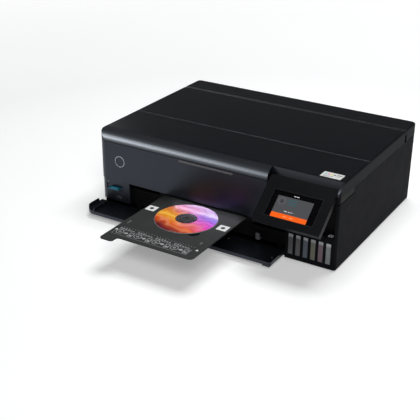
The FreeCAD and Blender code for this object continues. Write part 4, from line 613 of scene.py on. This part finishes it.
def make_tray_marks():
    deck, body = facing_up(TRAY_TOP), "disc_carrier"
    for side, cx in SQUARES:
        square = rounded(*grown(cx, cx, SQUARE_Y, SQUARE_Y, SQUARE_HALF), 0.8, 3)
        slab(f"tray_square_{side}", square, PRINT_THICK, deck, WHITE_INK, body)
        target = circle(cx, SQUARE_Y, TARGET_R, 32)
        slab(f"tray_target_{side}", target, PRINT_THICK * 1.6, deck, BLACK_INK, body)
    for side, x, y in ARROWS:
        slab(f"tray_arrow_{side}", points_at(x, y, TRAY_ARROW), PRINT_THICK, deck, WHITE_INK, body)
    bars("tray_lines", TRAY_LINES, PRINT_THICK, deck, DIM_INK, body)
    bars("tray_ticks", TRAY_TICKS, PRINT_THICK, deck, DIM_INK, body)


def make_pictograms():
    """Plain how-to strip: disc, arrow, printer block and captions, repeated along the front."""
    deck, body = facing_up(TRAY_TOP), "disc_carrier"
    for k in range(STRIP_COUNT):
        x = STRIP_LEFT + STRIP_PITCH * k
        for name, outer, inner, steps in (("disc", 7.6, 6.6, 40), ("hub", 2.6, 1.5, 24)):
            rims = [circle(x + 9.0, STRIP_FOOT + 9.5, r, steps) for r in (outer, inner)]
            band(f"picto_{name}_{k}", *rims, PRINT_THICK, deck, STRIP_INK, body)
        arrow = points_at(x + 22.0, STRIP_FOOT + 9.0, STRIP_ARROW)
        slab(f"picto_arrow_{k}", arrow, PRINT_THICK, deck, STRIP_INK, body)
        marks = boxes_at(x + 29.0, STRIP_FOOT, STRIP_BLOCK)
        for caption, count in ((STRIP_CAPTION, 6), (STRIP_SMALL_PRINT, 4 - k % 2)):
            for i in range(count):
                marks += boxes_at(x + CAPTION_PITCH * i, STRIP_FOOT, caption)
        bars(f"picto_marks_{k}", marks, PRINT_THICK, deck, STRIP_INK, body)
    border = (STRIP_LEFT - 2, STRIP_LEFT + STRIP_COUNT * STRIP_PITCH + 1,
              STRIP_FOOT - 2.4, STRIP_FOOT + 18.2)
    outer, inner = rounded(*border, 1.5, 3), rounded(*grown(*border, -0.6), 1.1, 3)
    band("picto_frame", outer, inner, PRINT_THICK, deck, DIM_INK, body)


def make_finger_notch():
    """Near-black sheet on the floor of the finger notch beside the disc: painted shade of the
    recess.
    """
    turn = math.radians(NOTCH_ANGLE)
    cx, cy = TRAY_X + DISC_R * math.cos(turn), DISC_Y + DISC_R * math.sin(turn)
    shade_sheet = circle(cx, cy, NOTCH_R - 0.2, 40)
    slab("finger_notch", shade_sheet, MARK_THICK, facing_up(NOTCH_FLOOR), NOTCH_SHADE, "disc_carrier")


# ---------------------------------------------------------------- screen picture
SCREEN_LIFT = 0.02                      # height of the lit card over the glass
CARD_INSET, CARD_REACH, CARD_DROP, CARD_FOOT, BUTTON_FOOT = 12.0, 81.0, 10.6, 44.0, 53.4
SCREEN_WORDS = ((22, 28, 4.8, 6.0), (30, 33, 4.8, 6.0), (35.4, 36.4, 4.2, 6.8),
                (39, 40, 4.8, 6.0))
SCREEN_PAGE = ((-2.6, 2.6, -3.2, 3.2),)
SCREEN_LINES = [(12, 29, 4.4 - 4.4 * i, 5.8 - 4.4 * i) for i in range(3)]
BUTTON_WORDS = ((24, 29, 3.6, 5.6), (30.2, 32, 3.6, 5.6), (36, 43, 3.6, 5.4))
TITLE = ((41, 45, -7.1, -5.9), (46, 51, -7.1, -5.9))


def make_screen():
    body, left, top = "panel", SCREEN_LEFT, SCREEN_TOP
    face, over = on_panel(SCREEN_LIFT), on_panel(SCREEN_LIFT + PRINT_THICK)
    card = (left + CARD_INSET, left + CARD_REACH, top - CARD_FOOT, top - CARD_DROP)
    button = (left + CARD_INSET, left + CARD_REACH, top - BUTTON_FOOT, top - CARD_FOOT)
    slab("screen_card", rounded(*card, 0.4, 2), PRINT_THICK, face, UI_GREY, body)
    slab("screen_strip", rounded(*button, 0.4, 2), PRINT_THICK, face, UI_ORANGE, body)
    cx, cy = card[0] + 10.5, card[3] - 10.0
    rims = [circle(cx, cy, r, 40) for r in (6.6, 5.9)]
    band("screen_ring", *rims, PIXEL_THICK, over, UI_PALE_GREY, body)
    bars("screen_page", boxes_at(cx, cy, SCREEN_PAGE), PIXEL_THICK, over, UI_DARK, body, 0.5)
    bars("screen_lines", boxes_at(cx, cy, SCREEN_LINES), PIXEL_THICK, over, UI_TEAL, body)
    words = boxes_at(card[0], button[3], SCREEN_WORDS)
    bars("screen_words", words, PIXEL_THICK, over, UI_WHITE, body)
    words = boxes_at(card[0], button[2], BUTTON_WORDS)
    bars("screen_button_words", words, PIXEL_THICK, over, UI_PEACH, body)
    bars("screen_title", boxes_at(left, top, TITLE), PRINT_THICK, face, UI_WHITE, body)
    glass = (left, left + SCREEN_WIDTH, top - SCREEN_HEIGHT, top)
    outer, inner = rounded(*grown(*glass, 0.1), 0.8, 3), rounded(*grown(*glass, -0.35), 0.6, 3)
    band("screen_bezel", outer, inner, BEZEL_THICK, on_panel(), BLACK_INK, body)


# ---------------------------------------------------------------- front details
TANK_TINTS = ((0.100, 0.100, 0.106), (0.088, 0.083, 0.086), (0.058, 0.086, 0.114),
              (0.130, 0.136, 0.096), (0.138, 0.086, 0.108), (0.190, 0.204, 0.204))
CARD_ICON = ((-244.5, -240.5, 61.0, 61.6), (-244.5, -243.9, 58.4, 61.6),
             (-241.1, -240.5, 58.4, 61.6), (-244.5, -240.5, 58.4, 59.0))
LEDGE_ICON = ((241.5, 249.5, -183.0, -182.0), (241.5, 249.5, -175.6, -174.6),
              (241.5, 242.5, -182.5, -175.0), (248.5, 249.5, -182.5, -175.0),
              (243.8, 247.2, -179.4, -178.2))
LEVEL_MARK = ((-2.4, -0.6, 46.4, 47.0),)
FLAP_MARKS = ((47.6, 50.4, -203.8, -202.2), (151.6, 154.4, -225.8, -224.2))
CARD_STICKER = ((-232.0, -216.0, -195.6, -190.6),)
CONTACTS = [(-233.6 + 2.4 * i, -232.2 + 2.4 * i, -170.6, -166.2) for i in range(9)]


def make_tank_windows():
    face, mark_face = facing_front(WINDOW_FACE), facing_front(LEVEL_MARK_FACE)
    half = WINDOW_WIDTH / 2 - WINDOW_GAP
    for i, tint in enumerate(TANK_TINTS):
        cx = TANK_FIRST_X + TANK_PITCH * i
        box = (cx - half, cx + half, WINDOW_FOOT + WINDOW_GAP, WINDOW_TOP - WINDOW_GAP)
        look = ink_window(f"ink_window_{i + 1}", tint)
        slab(f"tank_window_{i + 1}", rounded(*box, 1.6, 4), WINDOW_THICK, face, look, "case", 0.25)
        mark = boxes_at(cx + half, 0.0, LEVEL_MARK)
        bars(f"tank_line_{i + 1}", mark, THIN_MARK, mark_face, DIM_INK, "case")


def make_front_marks():
    on_card = facing_up(CARD_TOP)
    bars("card_icon", CARD_ICON, MARK_THICK, facing_front(MODULE_FACE), DIM_INK, "case")
    bars("card_label", CARD_STICKER, MARK_THICK, on_card, CARD_LABEL, "card", 0.6)
    bars("card_contacts", CONTACTS, THIN_MARK, on_card, GOLD, "card", 0.2)
    bars("ledge_icon", LEDGE_ICON, MARK_THICK, facing_up(LEDGE_TOP), WHITE_INK, "case")
    bars("flap_marks", FLAP_MARKS, MARK_THICK, facing_up(FLAP_TOP), WHITE_INK, "front_door")


# ---------------------------------------------------------------- lid details
LABEL_BOX, LABEL_THICK = (209.0, 248.5, -164.0, -141.0), 0.14
LABEL_DOTS = ((0.05, 0.45, 0.55), (0.85, 0.20, 0.45), (0.95, 0.65, 0.10), (0.12, 0.12, 0.13))
LABEL_WORDS = ((4, 22, 6.0, 8.0), (4, 16, 3.0, 4.4), (27, 36.5, 14.0, 18.5), (27, 34.5, 9.6, 11.2))


def make_lid_groove_glint():
    """Pale strip lying in the groove across the lid: a painted highlight on the groove's rear lip.
    """
    strip = [(LEFT + 1.6, RIGHT - 1.6, COVER_LINE_Y + 0.05, COVER_LINE_Y + 0.55)]
    bars("lid_groove_glint", strip, 0.2, facing_up(GROOVE_FLOOR), GROOVE_GLINT_GREY, "lid")


def make_lid_label():
    left, foot = LABEL_BOX[0], LABEL_BOX[2]
    under, over = facing_up(LABEL_RECESS), facing_up(LABEL_RECESS + LABEL_THICK)
    slab("lid_label", rounded(*LABEL_BOX, 1.0, 3), LABEL_THICK, under, LABEL_WHITE, "lid")
    for i, colour in enumerate(LABEL_DOTS):
        dot = circle(left + 6.0 + 5.6 * i, foot + 15.0, 2.3, 24)
        ink = printed(f"label_dot_ink_{i + 1}", colour)
        slab(f"lid_label_dot_{i + 1}", dot, THIN_MARK, over, ink, "lid")
    bars("lid_label_bars", boxes_at(left, foot, LABEL_WORDS), THIN_MARK, over, DIM_INK, "lid")


# ---------------------------------------------------------------- inside and back
PAD_BOX = (-156.4, 151.4, -162.4, 55.4)
SCAN_REACH = (-150.0, 43.0)
SOCKETS = (("network", (-167.0, -155.0, 64.0, 73.0)), ("computer", (-185.0, -175.0, 63.0, 74.0)))


def make_inside():
    outline = rounded(*PAD_BOX, 5.0, 5)
    pad = slab("document_foam", outline, PAD_THICK, facing_up(PAD_FOOT), WHITE_PAD, "lid", 1.0)
    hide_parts("document_pad")
    bar_top = facing_up(SCAN_BAR_TOP)
    bars("scan_lamp", [(-146.0, -144.0, *SCAN_REACH)], MARK_THICK, bar_top, PALE, "scan_bar", 0.8)
    bars("scan_lens", [(-141.0, -138.4, *SCAN_REACH)], MARK_THICK, bar_top, SCREEN, "scan_bar", 1.0)
    for name, box in SOCKETS:
        outer, inner = rounded(*grown(*box, -0.05), 0.5, 3), rounded(*grown(*box, -0.7), 0.4, 3)
        band(f"{name}_shell", outer, inner, SOCKET_DEPTH, facing_back(SOCKET_FACE), STEEL, "case")


make_disc()
make_tray_marks()
make_pictograms()
make_finger_notch()
make_screen()
make_tank_windows()
make_front_marks()
make_lid_groove_glint()
make_lid_label()
make_inside()


# ---------------------------------------------------------------- stage, lamps and camera
def build_stage():
    data = bpy.data.meshes.new("floor")
    low, high = -FLOOR_REACH, FLOOR_REACH
    corners = [(low, low, 0), (high, low, 0), (high, high, 0), (low, high, 0)]
    data.from_pydata(corners, [], [(0, 1, 2, 3)])
    data.materials.append(pale_floor())
    floor = bpy.data.objects.new("floor", data)
    bpy.context.scene.collection.objects.link(floor)


def build_world():
    """White backdrop behind the object; as light and in reflections it is only a low strip."""
    world = bpy.data.worlds.new("studio")
    bpy.context.scene.world = world
    world.use_nodes = True
    graph = Graph(world.node_tree, "Background", "OutputWorld")
    height = graph.split(graph.coords("Generated"))[2]
    low, high = math.sin(math.radians(BACKDROP_FULL)), math.sin(math.radians(BACKDROP_END))
    backdrop = graph.spread(height, 1.0, WORLD_LEVEL, low, high)
    path = graph.new("LightPath").outputs
    seen = graph.maths("MAXIMUM", path["Is Camera Ray"], path["Is Transmission Ray"])
    graph.surface(Color=WHITE, Strength=graph.maths("MAXIMUM", seen, backdrop))


def light_group(name, node_names, state):
    """Nodes that a lamp lights alone, or leaves to another lamp."""
    group = bpy.data.collections.new(name)
    for k, node_name in enumerate(node_names):
        group.objects.link(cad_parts[node_name])
        group.collection_objects[k].light_linking.link_state = state
    return group


def area_light(name, where, target, size, power, colour, group, hidden_from):
    data = bpy.data.lights.new(name, "AREA")
    data.shape = "RECTANGLE"
    data.size, data.size_y = size
    data.energy = power
    data.color = colour
    lamp = bpy.data.objects.new(name, data)
    bpy.context.scene.collection.objects.link(lamp)
    lamp.location = where
    lamp.rotation_mode = "QUATERNION"
    lamp.rotation_quaternion = (Vector(target) - Vector(where)).to_track_quat("-Z", "Y")
    if group:
        lamp.light_linking.receiver_collection = group
    if hidden_from:
        setattr(lamp, "visible_" + hidden_from, False)


def build_camera():
    data = bpy.data.cameras.new("camera")
    data.sensor_width = SENSOR
    data.lens = LENS
    data.clip_start, data.clip_end = CAMERA_CLIP
    camera = bpy.data.objects.new("camera", data)
    bpy.context.scene.collection.objects.link(camera)
    bpy.context.scene.camera = camera
    yaw, pitch, roll = (math.radians(angle) for angle in (CAMERA_YAW, CAMERA_PITCH, CAMERA_ROLL))
    level = math.cos(pitch)
    forward = Vector((-math.sin(yaw) * level, math.cos(yaw) * level, -math.sin(pitch)))
    right = Vector((math.cos(yaw), math.sin(yaw), 0.0))
    up = right.cross(forward)
    across = math.cos(roll) * right + math.sin(roll) * up
    above = -math.sin(roll) * right + math.cos(roll) * up
    camera.rotation_mode = "QUATERNION"
    camera.rotation_quaternion = Matrix((across, above, -forward)).transposed().to_quaternion()
    camera.location = CAMERA_PLACE


build_stage()
build_world()
LIGHT_GROUPS = {name: light_group(name, LID_NODES, state)
                for name, state in (("lid_group", "INCLUDE"), ("rest_group", "EXCLUDE"))}
for lamp_name, lamp_facts, group_name, hidden in LAMPS:
    area_light(lamp_name, *lamp_facts, LIGHT_GROUPS.get(group_name), hidden)
build_camera()
bpy.context.scene.view_settings.view_transform = "Standard"
